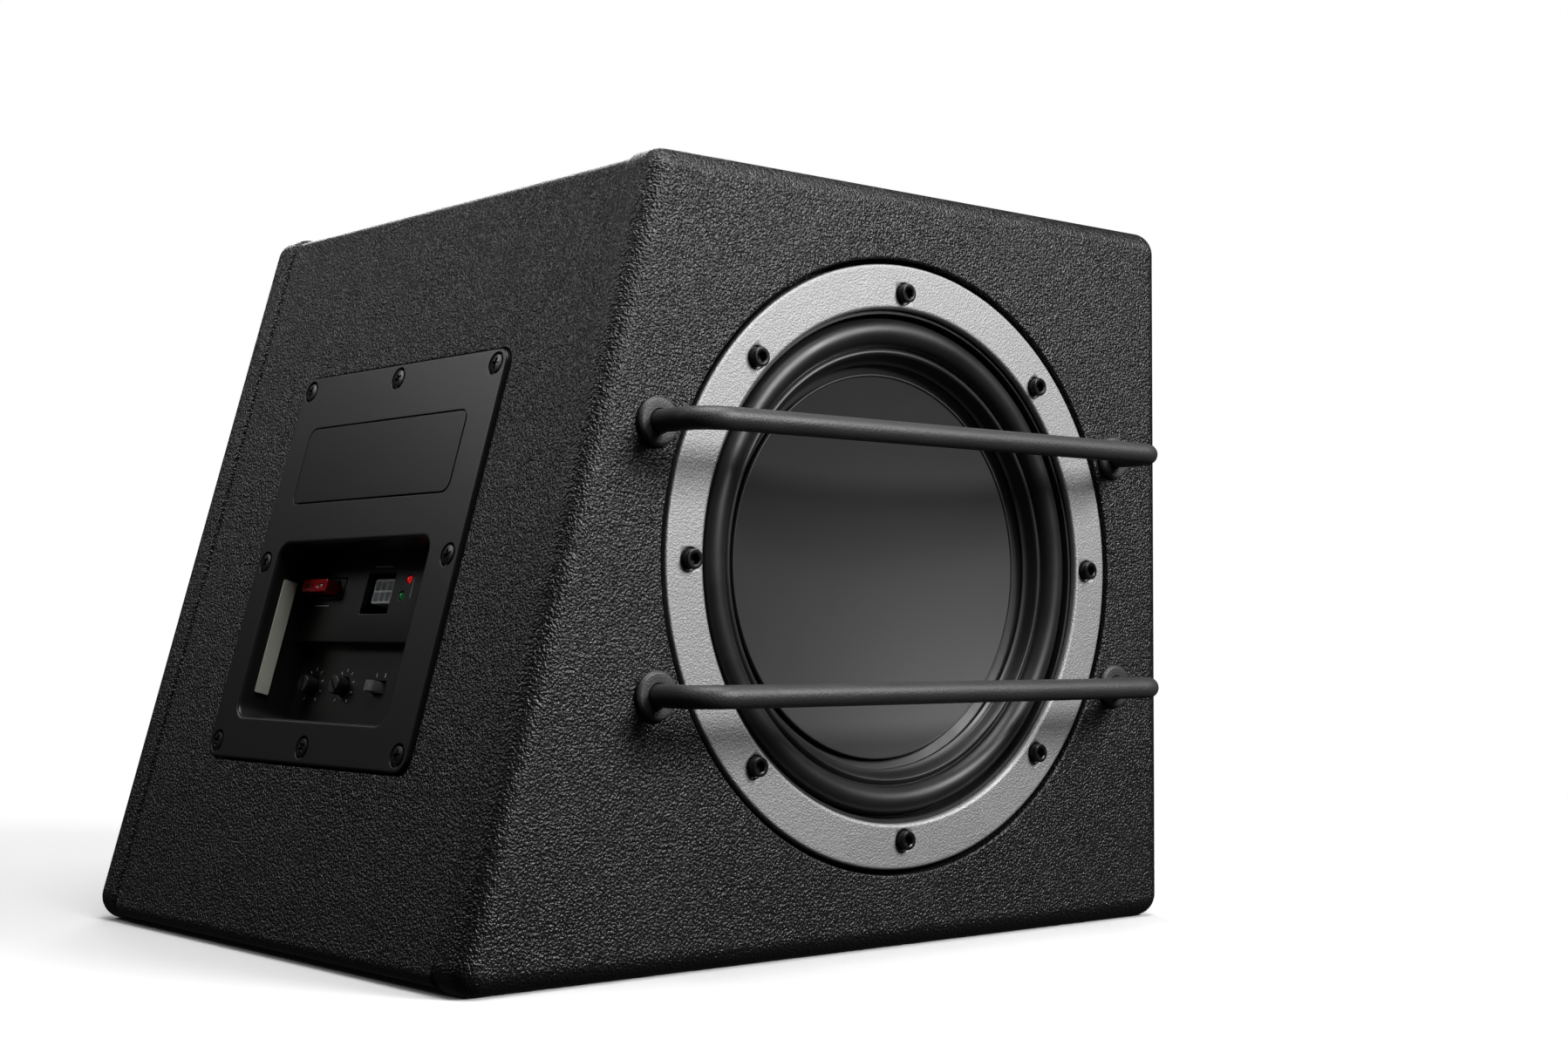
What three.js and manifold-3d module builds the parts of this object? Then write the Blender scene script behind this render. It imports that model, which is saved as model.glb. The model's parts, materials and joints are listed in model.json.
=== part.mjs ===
// Powered car subwoofer: a wooden cabinet with one slanted side, a driver behind a trim ring,
// two guard bars, and an amplifier set into the slanted side.
// Millimetres, +Z up. The driver faces -Y and the amplifier side faces -X.
// The origin is on the ground, below the middle of the whole object.

import * as THREE from 'three';
import { mergeVertices } from 'three/addons/utils/BufferGeometryUtils.js';
import Module from 'manifold-3d';

// ---------------------------------------------------------------- driving dimensions

const GAP = 0.3; // clearance left between pieces that touch
const FINE = 36; // sides of the large circles in view
const COARSE = 28; // sides of the large circles behind them
const REACH = 1; // how far a cutter runs past the face it cuts

const CABINET = {
  bottomWidth: 340.5,
  topWidth: 262,
  height: 280.3,
  depth: 267,
  endBoard: 18,
  bodyBoard: 15,
  outlineRadius: 9,
  outerRounding: 8,
  innerRounding: 3,
  insetLeft: 1.1,
  insetRight: 2.2,
  insetTop: 2.2,
  insetBottom: 2.2,
  bodyRadius: 4,
};

const DRIVER = {
  fromRightEdge: 146.7,
  height: 139.7,
  counterboreRadius: 113.3,
  counterboreDepth: 12,
  holeRadius: 94.8,
  screwCircle: 100.7,
  screwCount: 8,
  screwHole: 2.3,
};

// Sections of the driver's turned pieces, as [radius, depth] points.
const RING_SECTION = [
  [94.7, 1.9], [95.1, 1], [96.2, 0.5], [110.4, 0.5], [111.3, 1.4], [111.3, 2.9], [94.7, 2.9],
];
const GASKET_SECTION = [[95.6, 8.6], [98, 8.6], [98, 11.7], [95.6, 11.7]];
const BASKET_SECTION = [
  [93.2, 3.2], [111, 3.2], [111, 8.3], [94.2, 8.3], [93, 12], [88.5, 21], [78, 44],
  [58, 62], [52, 72], [36, 72], [36, 69.5], [49.5, 69.5], [54.5, 59.5], [62, 52.4],
  [62, 49.5], [75, 41], [85.5, 20], [88, 11.2], [88, 9.2], [93.2, 9.2],
];
const TOP_PLATE_SECTION = [[28, 72.6], [52, 72.6], [52, 79.6], [28, 79.6]];
const MAGNET_SECTION = [[31, 80], [61, 80], [61, 100], [31, 100]];
const YOKE_SECTION = [
  [6, 70.5], [24.6, 70.5], [24.6, 100.4], [54, 100.4], [54, 105.4], [50, 107.4], [6, 107.4],
];
const FORMER_SECTION = [[25.5, 46], [26, 46], [26, 90], [25.5, 90]];
const WINDING_SECTION = [[26.3, 72], [27.4, 72], [27.4, 88], [26.3, 88]];
const CONE = { front: [[77.2, 11.8], [27.2, 47.5]], thickness: 1.4 };
const DUST_CAP = {
  front: [[71.8, 13.2], [70.6, 13.2], [48, 18], [24, 21.2], [0, 22.2]],
  thickness: 1,
};
const SPIDER = { inner: 26.3, outer: 61.6, depth: 50, height: 2, folds: 3, edge: 4, thickness: 0.9 };
const SURROUND = {
  roll: { radius: 86.6, depth: 7.6, bend: 5.4, chords: 6 },
  fold: { radius: 79.2, depth: 7.9, bend: 1.9, chords: 2 },
  rim: [[92.4, 7.6]],
  back: [[76.7, 10.2], [75.2, 10.9], [75.2, 12.2], [76.7, 11.5], [81, 8.9], [92.4, 8.9]],
};
const BASKET_WINDOW = { count: 6, width: 34, height: 27, length: 60, tilt: 0.1, along: 33, out: 85 };
const TERMINALS = { width: 26, height: 12, thickness: 3, depth: 52, above: 76.5 };

const RING_SCREW = {
  seat: 1.6,
  headRadius: 3.5,
  headHeight: 4,
  socketRadius: 1.75,
  socketDepth: 2.2,
  shankRadius: 2,
  room: 0.8,
};

const BAR = {
  radius: 4,
  bendRadius: 12,
  bendSteps: 5,
  reach: 25,
  legsFromRightEdge: [30.9, 262.5],
  heights: { upper: 185.5, lower: 93.7 },
  flangeRadius: 8.5,
  flangeThickness: 2,
  holeRadius: 4.4,
  threadLength: 8,
};

// The amplifier side is laid out on the slanted side itself: x runs towards the front edge,
// y up the slope from the ground, z straight out of the side.
const PLATE = {
  x: -132.8,
  y: 146,
  width: 143.7,
  height: 153.7,
  radius: 6,
  top: 1.5,
  thickness: 2.5,
  rebate: 2.6,
  clearance: 0.5,
  gasketMargin: 9.2,
  cutMargin: 12,
};

const PLATE_SCREW = {
  offsetsX: [-65.4, 0, 65.4],
  offsetsY: [-70.8, 0.5, 71.1],
  headRadius: 3.4,
  headHeight: 1.3,
  pocketRadius: 4.3,
  pocketFloor: 0.2,
  shankRadius: 1.6,
};

const BADGE = {
  x: -133.7,
  y: 185.3,
  width: 111.4,
  height: 30.3,
  radius: 4,
  pocket: 0.8,
  thickness: 0.6,
  room: 0.5,
};

const RECESS = {
  left: -189.4,
  right: -81,
  bottom: 85.4,
  top: 153.5,
  step: 119.3,
  radius: 6,
  wall: 2.5,
  upperDepth: 15.5,
  lowerDepth: 20.2,
};

const FUSE = {
  x: -176.5,
  y: 140.3,
  width: 19.1,
  thickness: 5.1,
  height: 12,
  top: -10,
  slot: { offset: 4.6, width: 3, height: 1.6, depth: 1.5 },
  waist: { width: 3, below: 5.5 },
  core: { width: 15.2, height: 1.3, rise: 7.3 },
  blade: { offset: 4.8, width: 5, height: 0.7, reach: 7 },
  link: { width: 6, low: 5, high: 6.5 },
  opening: { shift: 1, width: 26.1, height: 8.7 },
  holder: { width: 25.1, height: 8.1, radius: 1, clipWidth: 6, clipHeight: 1.6, clipDepth: 8 },
};
const HOLDER_ROOM = 0.4; // clearance round the fuse in its holder
const HEADER = {
  x: -137.4,
  y: 139.6,
  width: 13.8,
  height: 9.6,
  face: -17.5,
  pitch: 4.2,
  cell: 3.4,
  cellDepth: 11,
};
const HEADER_WINDOW = { x: -137.4, y: 138.3, width: 19.5, height: 16 };
const LAMPS = { radius: 1.5, red: [-117.5, 143.4], green: [-120.2, 137.1] };
const KNOBS = {
  gainX: -176.1,
  bassX: -152.9,
  y: 102.9,
  radius: 3.5,
  length: 4.8,
  inside: 3,
  room: 0.6,
  slotWidth: 1.1,
  slotDepth: 1.4,
  potSide: 10.5,
};
const SWITCH = {
  x: -128,
  y: 103.3,
  holeWidth: 9.1,
  holeHeight: 5.4,
  leverWidth: 5.3,
  leverHeight: 4.2,
  leverTop: -16.5,
  leverInside: 3,
  room: 0.4,
  bodyWidth: 15,
  bodyHeight: 9,
};
const FLOOR_SCREW = { x: -113.2, y: 104.7, radius: 2.4, height: 1.5, shankRadius: 1.6 };
const LABEL = { shallow: -3.4, deep: -9.3, low: 96, high: 141, thickness: 0.4 };
const BOARD = { x: -134, y: 128, width: 124, height: 104, thickness: 1.6, face: -34 };
const SINK = { base: 4, finHeight: 16, finThickness: 2, fins: 9, behind: 4 };

// ---------------------------------------------------------------- derived places

const LEAN = Math.atan((CABINET.bottomWidth - CABINET.topWidth) / CABINET.height);
// The sharp corner below the slanted edge is rounded, so the board ends this far inside it.
const SETBACK = CABINET.outlineRadius / Math.tan((Math.PI / 2 - LEAN) / 2) - CABINET.outlineRadius;
const RIGHT = (CABINET.bottomWidth - SETBACK) / 2;
const LEFT = RIGHT - CABINET.bottomWidth;
const WHOLE_DEPTH = CABINET.depth + BAR.reach + BAR.radius;
const FRONT = WHOLE_DEPTH / 2 - CABINET.depth; // the baffle's front face on Y
const DRIVER_X = RIGHT - DRIVER.fromRightEdge;

// ---------------------------------------------------------------- materials

function paint(color, roughness, metalness) {
  return new THREE.MeshStandardMaterial({ color, roughness, metalness });
}

const coating = () => paint(0x1b1b1c, 0.55, 0);
const silver = () => paint(0xa9abad, 0.4, 0.85);
const blackSteel = () => paint(0x232325, 0.45, 0.6);
const powderCoat = () => paint(0x2c2c2e, 0.5, 0.2);
const rubber = () => paint(0x151516, 0.5, 0);
const conePulp = () => paint(0x333335, 0.7, 0);
const moulding = () => paint(0x161617, 0.4, 0);
const zinc = () => paint(0xb8bbbd, 0.35, 0.9);
const copper = () => paint(0xb4693a, 0.4, 0.9);

// ---------------------------------------------------------------- solids

const wasm = await Module();
wasm.setup();

// A closed geometry as a solid, first moved by an optional matrix.
function solid(geometry, matrix) {
  const bare = geometry.clone();
  bare.deleteAttribute('normal');
  bare.deleteAttribute('uv');
  if (matrix) bare.applyMatrix4(matrix);
  const merged = mergeVertices(bare, 1e-4);
  const index = merged.index.array;
  const corners = [];
  for (let i = 0; i < index.length; i += 3) {
    const [a, b, c] = [index[i], index[i + 1], index[i + 2]];
    if (a !== b && b !== c && c !== a) corners.push(a, b, c);
  }
  const vertProperties = Float32Array.from(merged.attributes.position.array);
  const triVerts = Uint32Array.from(corners);
  return new wasm.Manifold(new wasm.Mesh({ numProp: 3, vertProperties, triVerts }));
}

function union(solids) {
  return solids.reduce((whole, next) => whole.add(next));
}

function named(name, body, material) {
  const { vertProperties, triVerts } = body.getMesh();
  const geometry = new THREE.BufferGeometry();
  geometry.setAttribute('position', new THREE.BufferAttribute(Float32Array.from(vertProperties), 3));
  geometry.setIndex(new THREE.BufferAttribute(Uint32Array.from(triVerts), 1));
  geometry.computeVertexNormals();
  const mesh = new THREE.Mesh(geometry, material);
  mesh.name = name;
  return mesh;
}

// ---------------------------------------------------------------- outlines

// A closed outline through the corners, counterclockwise, each rounded by an arc.
function roundedOutline(corners, radius) {
  const outline = new THREE.Shape();
  corners.forEach((corner, i) => {
    const before = corners[(i + corners.length - 1) % corners.length].clone().sub(corner).normalize();
    const after = corners[(i + 1) % corners.length].clone().sub(corner).normalize();
    const half = Math.acos(before.dot(after)) / 2;
    const start = corner.clone().addScaledVector(before, radius / Math.tan(half));
    const end = corner.clone().addScaledVector(after, radius / Math.tan(half));
    const middle = before.clone().add(after).normalize();
    const centre = corner.clone().addScaledVector(middle, radius / Math.sin(half));
    const startAngle = Math.atan2(start.y - centre.y, start.x - centre.x);
    const endAngle = Math.atan2(end.y - centre.y, end.x - centre.x);
    if (i === 0) outline.moveTo(start.x, start.y);
    else outline.lineTo(start.x, start.y);
    outline.absarc(centre.x, centre.y, radius, startAngle, endAngle, false);
  });
  outline.closePath();
  return outline;
}

function rectangle(x, y, width, height, radius = 0) {
  const [w, h] = [width / 2, height / 2];
  const corners = [[x - w, y - h], [x + w, y - h], [x + w, y + h], [x - w, y + h]];
  const points = corners.map(([px, py]) => new THREE.Vector2(px, py));
  return radius > 0 ? roundedOutline(points, radius) : new THREE.Shape(points);
}

function disc(x, y, radius) {
  const outline = new THREE.Shape();
  outline.absarc(x, y, radius, 0, Math.PI * 2, false);
  return outline;
}

// ---------------------------------------------------------------- sweeps

// An outline in x and y, between two levels of z.
function slab(outline, low, high, curveSegments = 3) {
  const geometry = new THREE.ExtrudeGeometry(outline, {
    depth: high - low,
    bevelEnabled: false,
    curveSegments,
  });
  geometry.translate(0, 0, low);
  return solid(geometry);
}

// A round rod or a round cutter along z.
function rod(x, y, radius, low, high, segments = 12) {
  const geometry = new THREE.CylinderGeometry(radius, radius, high - low, segments);
  geometry.rotateX(Math.PI / 2);
  geometry.translate(x, y, (low + high) / 2);
  return solid(geometry);
}

function block(x, y, width, height, low, high) {
  const geometry = new THREE.BoxGeometry(width, height, high - low);
  geometry.translate(x, y, (low + high) / 2);
  return solid(geometry);
}

// An outline in world x and z, from one depth behind the baffle's face to another.
// rounding bevels both ends inwards, so the stated outline is the widest one.
function board(outline, near, far, rounding = 0) {
  const geometry = new THREE.ExtrudeGeometry(outline, {
    depth: far - near - 2 * rounding,
    bevelEnabled: rounding > 0,
    bevelThickness: rounding,
    bevelSize: rounding,
    bevelOffset: -rounding,
    bevelSegments: 3,
    curveSegments: 3,
  });
  geometry.rotateX(Math.PI / 2);
  geometry.translate(0, FRONT + far - rounding, 0);
  return solid(geometry);
}

// A closed profile of [radius, depth] points turned about the driver's axis.
function turned(profile, segments = COARSE) {
  const area = profile.reduce((sum, [r, d], i) => {
    const [nextR, nextD] = profile[(i + 1) % profile.length];
    return sum + (r * nextD - nextR * d) / 2;
  }, 0);
  const ordered = area > 0 ? profile : [...profile].reverse();
  const points = [...ordered, ordered[0]].map(([r, d]) => new THREE.Vector2(r, d));
  return solid(new THREE.LatheGeometry(points, segments));
}

// A rod or cutter along the driver's axis, centred on the stated x and z.
function bolt(x, z, radius, near, far, segments = 12) {
  const geometry = new THREE.CylinderGeometry(radius, radius, far - near, segments);
  geometry.translate(x, (near + far) / 2, z);
  return solid(geometry);
}

function around(count, radius, place) {
  return Array.from({ length: count }, (_, i) => {
    const angle = (i / count) * Math.PI * 2;
    return place(Math.sin(angle) * radius, Math.cos(angle) * radius, angle);
  });
}

// ---------------------------------------------------------------- cabinet

function endCorners() {
  return [
    new THREE.Vector2(LEFT, 0),
    new THREE.Vector2(RIGHT, 0),
    new THREE.Vector2(RIGHT, CABINET.height),
    new THREE.Vector2(RIGHT - CABINET.topWidth, CABINET.height),
  ];
}

// The body's outline, with the wall's thickness taken off where depth is above zero.
function bodyCorners(depth) {
  const low = CABINET.insetBottom + depth;
  const high = CABINET.height - CABINET.insetTop - depth;
  const right = RIGHT - CABINET.insetRight - depth;
  const foot = LEFT + (CABINET.insetLeft + depth) / Math.cos(LEAN);
  const slanted = (z) => foot + z * Math.tan(LEAN);
  return [
    new THREE.Vector2(slanted(low), low),
    new THREE.Vector2(right, low),
    new THREE.Vector2(right, high),
    new THREE.Vector2(slanted(high), high),
  ];
}

// One of the four body boards, mitred at both corners with a clearance at each mitre.
function bodyBoard(side) {
  const outer = bodyCorners(0);
  const inner = bodyCorners(CABINET.bodyBoard);
  const next = (side + 1) % outer.length;
  const along = outer[next].clone().sub(outer[side]).normalize();
  const shift = along.clone().multiplyScalar(GAP / 2 / Math.SQRT1_2);
  const corners = [
    outer[side].clone().add(shift),
    outer[next].clone().sub(shift),
    inner[next].clone().sub(shift),
    inner[side].clone().add(shift),
  ];
  const near = CABINET.endBoard + GAP;
  const far = CABINET.depth - CABINET.endBoard - GAP;
  const rounded = board(roundedOutline(outer, CABINET.bodyRadius), near - REACH, far + REACH);
  return board(new THREE.Shape(corners), near, far).intersect(rounded);
}

function endBoard(near, far, outerFace) {
  const outline = roundedOutline(endCorners(), CABINET.outlineRadius);
  const spare = CABINET.endBoard;
  const front = outerFace === near;
  const big = board(outline, front ? near : near - spare, front ? far + spare : far, CABINET.outerRounding);
  const small = board(outline, front ? near - spare : near, front ? far : far + spare, CABINET.innerRounding);
  return big.intersect(small);
}

function atDriver(body) {
  return body.translate([DRIVER_X, FRONT, DRIVER.height]);
}

function legPlaces() {
  const heights = [BAR.heights.upper, BAR.heights.lower];
  const places = heights.map((z) => BAR.legsFromRightEdge.map((fromRight) => [RIGHT - fromRight, z]));
  return places.flat();
}

function makeCabinet() {
  const cabinet = new THREE.Group();
  const screwHoles = around(DRIVER.screwCount, DRIVER.screwCircle, (x, z) =>
    bolt(x, z, DRIVER.screwHole, 0, CABINET.endBoard + REACH, 6));
  const driverCut = union([
    bolt(0, 0, DRIVER.counterboreRadius, -REACH, DRIVER.counterboreDepth, FINE),
    bolt(0, 0, DRIVER.holeRadius, 0, CABINET.endBoard + REACH, FINE),
    ...screwHoles,
  ]);
  const barHoles = legPlaces().map(([x, z]) =>
    bolt(x, z, BAR.holeRadius, -REACH, CABINET.endBoard + REACH).translate([0, FRONT, 0]));
  const baffle = endBoard(0, CABINET.endBoard, 0)
    .subtract(atDriver(driverCut))
    .subtract(union(barHoles));
  const rear = endBoard(CABINET.depth - CABINET.endBoard, CABINET.depth, CABINET.depth);

  const plateCut = union([
    slab(plateOutline(PLATE.clearance), -PLATE.rebate, REACH),
    slab(plateOutline(-PLATE.cutMargin), -CABINET.bodyBoard - REACH, REACH),
  ]);
  const ampSide = bodyBoard(3).subtract(plateCut.transform(sideMatrix().toArray()));

  cabinet.add(
    named('front_baffle', baffle, coating()),
    named('rear_panel', rear, coating()),
    named('bottom_panel', bodyBoard(0), coating()),
    named('plain_side_panel', bodyBoard(1), coating()),
    named('top_panel', bodyBoard(2), coating()),
    named('amp_side_panel', ampSide, coating()),
  );
  return cabinet;
}

// ---------------------------------------------------------------- driver

function makeRingScrew() {
  const { headRadius, headHeight, socketRadius, socketDepth, shankRadius } = RING_SCREW;
  const headNear = RING_SCREW.seat - headHeight;
  const head = bolt(0, 0, headRadius, headNear, RING_SCREW.seat, 12);
  const socket = bolt(0, 0, socketRadius, headNear - REACH, headNear + socketDepth, 6);
  const shank = bolt(0, 0, shankRadius, RING_SCREW.seat - REACH, CABINET.endBoard - REACH, 6);
  return head.add(shank).subtract(socket);
}

function makeRing() {
  const { screwCount, screwCircle, screwHole } = DRIVER;
  const ring = turned(RING_SECTION, FINE);
  const holes = around(screwCount, screwCircle, (x, z) => bolt(x, z, screwHole, 0, RING_SCREW.headHeight, 6));
  const seats = around(screwCount, screwCircle, (x, z) =>
    bolt(x, z, RING_SCREW.headRadius + RING_SCREW.room, -REACH, RING_SCREW.seat + GAP));
  return ring.subtract(union([...holes, ...seats]));
}

function makeBasket() {
  const { screwCount, screwCircle, screwHole } = DRIVER;
  const frame = turned(BASKET_SECTION);
  const holes = around(screwCount, screwCircle, (x, z) =>
    bolt(x, z, screwHole, 0, DRIVER.counterboreDepth, 6));
  const { count, width, height, length, tilt, along, out } = BASKET_WINDOW;
  const windows = around(count, out, (x, z, angle) => {
    const window = new THREE.BoxGeometry(width, height, length);
    window.rotateX(tilt);
    window.translate(0, along, out);
    window.rotateY(angle + Math.PI / count);
    return solid(window);
  });
  return frame.subtract(union([...holes, ...windows]));
}

// A thin wall that follows [radius, depth] points and is as thick as stated along the axis.
function sheet(points, thickness) {
  const back = points.map(([r, d]) => [r, d + thickness]).reverse();
  return turned([...points, ...back]);
}

// Points on a half circle that bulges forwards, from its outer end to its inner end.
function halfRoll({ radius, depth, bend, chords }) {
  return Array.from({ length: chords + 1 }, (_, i) => {
    const angle = (i / chords) * Math.PI;
    return [radius + bend * Math.cos(angle), depth - bend * Math.sin(angle)];
  });
}

function makeSurround() {
  const { rim, roll, fold, back } = SURROUND;
  return turned([...rim, ...halfRoll(roll), ...halfRoll(fold), ...back]);
}

function makeSpider() {
  const { inner, outer, depth, height, folds, edge, thickness } = SPIDER;
  const bends = folds * 2;
  const pitch = (outer - inner - edge * 2) / bends;
  const waves = Array.from({ length: bends + 1 }, (_, i) =>
    [inner + edge + pitch * i, i % 2 ? depth - height : depth + height]);
  return sheet([[inner, depth], ...waves, [outer, depth]], thickness);
}

function makeMotor() {
  return [
    named('top_plate', turned(TOP_PLATE_SECTION), zinc()),
    named('magnet', turned(MAGNET_SECTION), paint(0x2b2c2f, 0.75, 0.1)),
    named('pole_yoke', turned(YOKE_SECTION), zinc()),
  ];
}

function makeDriver() {
  const driver = new THREE.Group();
  driver.position.set(DRIVER_X, FRONT, DRIVER.height);
  const { screwCount, screwCircle } = DRIVER;
  around(screwCount, screwCircle, (x, z) => makeRingScrew().translate([x, 0, z])).forEach((screw, i) => {
    driver.add(named(`ring_screw_${i + 1}`, screw, blackSteel()));
  });
  const { width, height, thickness, depth, above } = TERMINALS;
  const terminals = block(0, 0, width, height, 0, thickness).translate([0, depth, above]);

  driver.add(
    named('trim_ring', makeRing(), silver()),
    named('driver_gasket', turned(GASKET_SECTION, FINE), rubber()),
    named('basket', makeBasket(), blackSteel()),
    named('surround', makeSurround(), rubber()),
    named('cone', sheet(CONE.front, CONE.thickness), conePulp()),
    named('dust_cap', sheet(DUST_CAP.front, DUST_CAP.thickness), conePulp()),
    named('spider', makeSpider(), paint(0x8a6a35, 0.9, 0)),
    named('voice_coil_former', turned(FORMER_SECTION), paint(0x8c7a4a, 0.5, 0.1)),
    named('voice_coil_winding', turned(WINDING_SECTION), copper()),
    named('terminal_strip', terminals, paint(0x7a4a22, 0.6, 0)),
    ...makeMotor(),
  );
  return driver;
}

// ---------------------------------------------------------------- guard bars

// A route of straight and bent stretches, with stations only at joins and round the bends,
// so that a tube along it has no needless rings.
class RodRoute extends THREE.Curve {
  constructor(stretches, bendSteps) {
    super();
    this.stations = stretches.flatMap((stretch, i) => {
      const steps = stretch.isLineCurve3 ? 1 : bendSteps;
      const parts = Array.from({ length: steps + 1 }, (_, k) => [stretch, k / steps]);
      return i ? parts.slice(1) : parts;
    });
  }

  station(u) {
    return this.stations[Math.round(u * (this.stations.length - 1))];
  }

  getPointAt(u, target = new THREE.Vector3()) {
    const [stretch, t] = this.station(u);
    return stretch.getPoint(t, target);
  }

  getTangentAt(u, target = new THREE.Vector3()) {
    const [stretch, t] = this.station(u);
    return stretch.getTangent(t, target);
  }

  getPoint(u, target) {
    return this.getPointAt(u, target);
  }
}

function quarterBend(from, corner, to) {
  const arm = from.distanceTo(corner) * (4 / 3) * (Math.SQRT2 - 1);
  const first = from.clone().add(corner.clone().sub(from).setLength(arm));
  const second = to.clone().add(corner.clone().sub(to).setLength(arm));
  return new THREE.CubicBezierCurve3(from, first, second, to);
}

function barRoute(height) {
  const [rightLeg, leftLeg] = BAR.legsFromRightEdge.map((fromRight) => RIGHT - fromRight);
  const front = FRONT - BAR.reach;
  const inside = FRONT + CABINET.endBoard + BAR.threadLength;
  const bend = BAR.bendRadius;
  const at = (x, y) => new THREE.Vector3(x, y, height);
  const stretches = [
    new THREE.LineCurve3(at(leftLeg, inside), at(leftLeg, front + bend)),
    quarterBend(at(leftLeg, front + bend), at(leftLeg, front), at(leftLeg + bend, front)),
    new THREE.LineCurve3(at(leftLeg + bend, front), at(rightLeg - bend, front)),
    quarterBend(at(rightLeg - bend, front), at(rightLeg, front), at(rightLeg, front + bend)),
    new THREE.LineCurve3(at(rightLeg, front + bend), at(rightLeg, inside)),
  ];
  return new RodRoute(stretches, BAR.bendSteps);
}

function makeBar(height) {
  const route = barRoute(height);
  return solid(new THREE.ExtrudeGeometry(disc(0, 0, BAR.radius), {
    steps: route.stations.length - 1,
    curveSegments: 6,
    extrudePath: route,
  }));
}

function makeGuardBars() {
  const bars = new THREE.Group();
  for (const [place, height] of Object.entries(BAR.heights)) {
    bars.add(named(`${place}_guard_bar`, makeBar(height), powderCoat()));
  }
  const bore = BAR.radius + GAP;
  legPlaces().forEach(([x, z], i) => {
    const washer = bolt(x, z, BAR.flangeRadius, -BAR.flangeThickness - GAP, -GAP, 20);
    const flange = washer.subtract(bolt(x, z, bore, -BAR.flangeThickness - REACH, REACH));
    bars.add(named(`bar_flange_${i + 1}`, flange.translate([0, FRONT, 0]), powderCoat()));
  });
  return bars;
}

// ---------------------------------------------------------------- amplifier

function sideMatrix() {
  const towardsFront = new THREE.Vector3(0, -1, 0);
  const upSlope = new THREE.Vector3(Math.sin(LEAN), 0, Math.cos(LEAN));
  const outwards = new THREE.Vector3(-Math.cos(LEAN), 0, Math.sin(LEAN));
  const matrix = new THREE.Matrix4().makeBasis(towardsFront, upSlope, outwards);
  return matrix.setPosition(LEFT + CABINET.insetLeft / Math.cos(LEAN), FRONT, 0);
}

function plateOutline(grow) {
  const radius = Math.max(PLATE.radius + grow, 2);
  return rectangle(PLATE.x, PLATE.y, PLATE.width + 2 * grow, PLATE.height + 2 * grow, radius);
}

function badgeOutline(grow) {
  return rectangle(BADGE.x, BADGE.y, BADGE.width + 2 * grow, BADGE.height + 2 * grow, BADGE.radius);
}

function plateScrewPlaces() {
  const rows = PLATE_SCREW.offsetsY.flatMap((dy, row) =>
    PLATE_SCREW.offsetsX.filter((dx, column) => row !== 1 || column !== 1).map((dx) => [dx, dy]));
  return rows.map(([dx, dy]) => [PLATE.x + dx, PLATE.y + dy]);
}

// The recess as a box between two heights, grown sideways by a wall's thickness where asked.
function recessBlock(low, high, floor, top, grow) {
  const x = (RECESS.left + RECESS.right) / 2;
  const width = RECESS.right - RECESS.left + 2 * grow;
  const outline = rectangle(x, (low + high) / 2, width, high - low + 2 * grow, RECESS.radius + grow);
  return slab(outline, floor, top);
}

function makePlate() {
  const { bottom, top, step, wall, upperDepth, lowerDepth } = RECESS;
  const flangeBack = PLATE.top - PLATE.thickness;
  const overlap = RECESS.radius * 2;
  const flange = slab(plateOutline(0), flangeBack, PLATE.top);
  const shell = recessBlock(bottom, top, -upperDepth - wall, flangeBack, wall)
    .add(recessBlock(bottom, step, -lowerDepth - wall, flangeBack, wall));
  const hollow = recessBlock(bottom, top, -upperDepth, PLATE.top + REACH, 0)
    .add(recessBlock(bottom, step, -lowerDepth, PLATE.top + REACH, 0))
    .add(block(PLATE.x, step - overlap / 2, overlap * 5, overlap, -lowerDepth, 0));
  const badgeSeat = slab(badgeOutline(BADGE.room), PLATE.top - BADGE.pocket, PLATE.top + REACH);
  const seats = plateScrewPlaces().flatMap(([x, y]) => [
    rod(x, y, PLATE_SCREW.pocketRadius, PLATE_SCREW.pocketFloor, PLATE.top + REACH),
    rod(x, y, PLATE_SCREW.shankRadius + GAP, flangeBack - REACH, PLATE.top + REACH, 6),
  ]);
  const through = -lowerDepth - wall - REACH;
  const { opening } = FUSE;
  const openings = [
    block(HEADER_WINDOW.x, HEADER_WINDOW.y, HEADER_WINDOW.width, HEADER_WINDOW.height, through, 0),
    block(FUSE.x + opening.shift, FUSE.y, opening.width, opening.height, through, 0),
    ...[LAMPS.red, LAMPS.green].map(([x, y]) => rod(x, y, LAMPS.radius + GAP, through, 0, 10)),
    ...[KNOBS.gainX, KNOBS.bassX].map((x) => rod(x, KNOBS.y, KNOBS.radius + KNOBS.room, through, 0)),
    block(SWITCH.x, SWITCH.y, SWITCH.holeWidth, SWITCH.holeHeight, through, 0),
    rod(FLOOR_SCREW.x, FLOOR_SCREW.y, FLOOR_SCREW.shankRadius + GAP, through, 0, 8),
  ];
  return flange.add(shell).subtract(union([hollow, badgeSeat, ...seats, ...openings]));
}

function makePlateScrew([x, y]) {
  const { headRadius, headHeight, pocketFloor, shankRadius } = PLATE_SCREW;
  const headLow = pocketFloor + GAP;
  const head = rod(x, y, headRadius, headLow, headLow + headHeight);
  return head.add(rod(x, y, shankRadius, -PLATE.rebate + GAP, headLow + headHeight / 2, 6));
}

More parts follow.
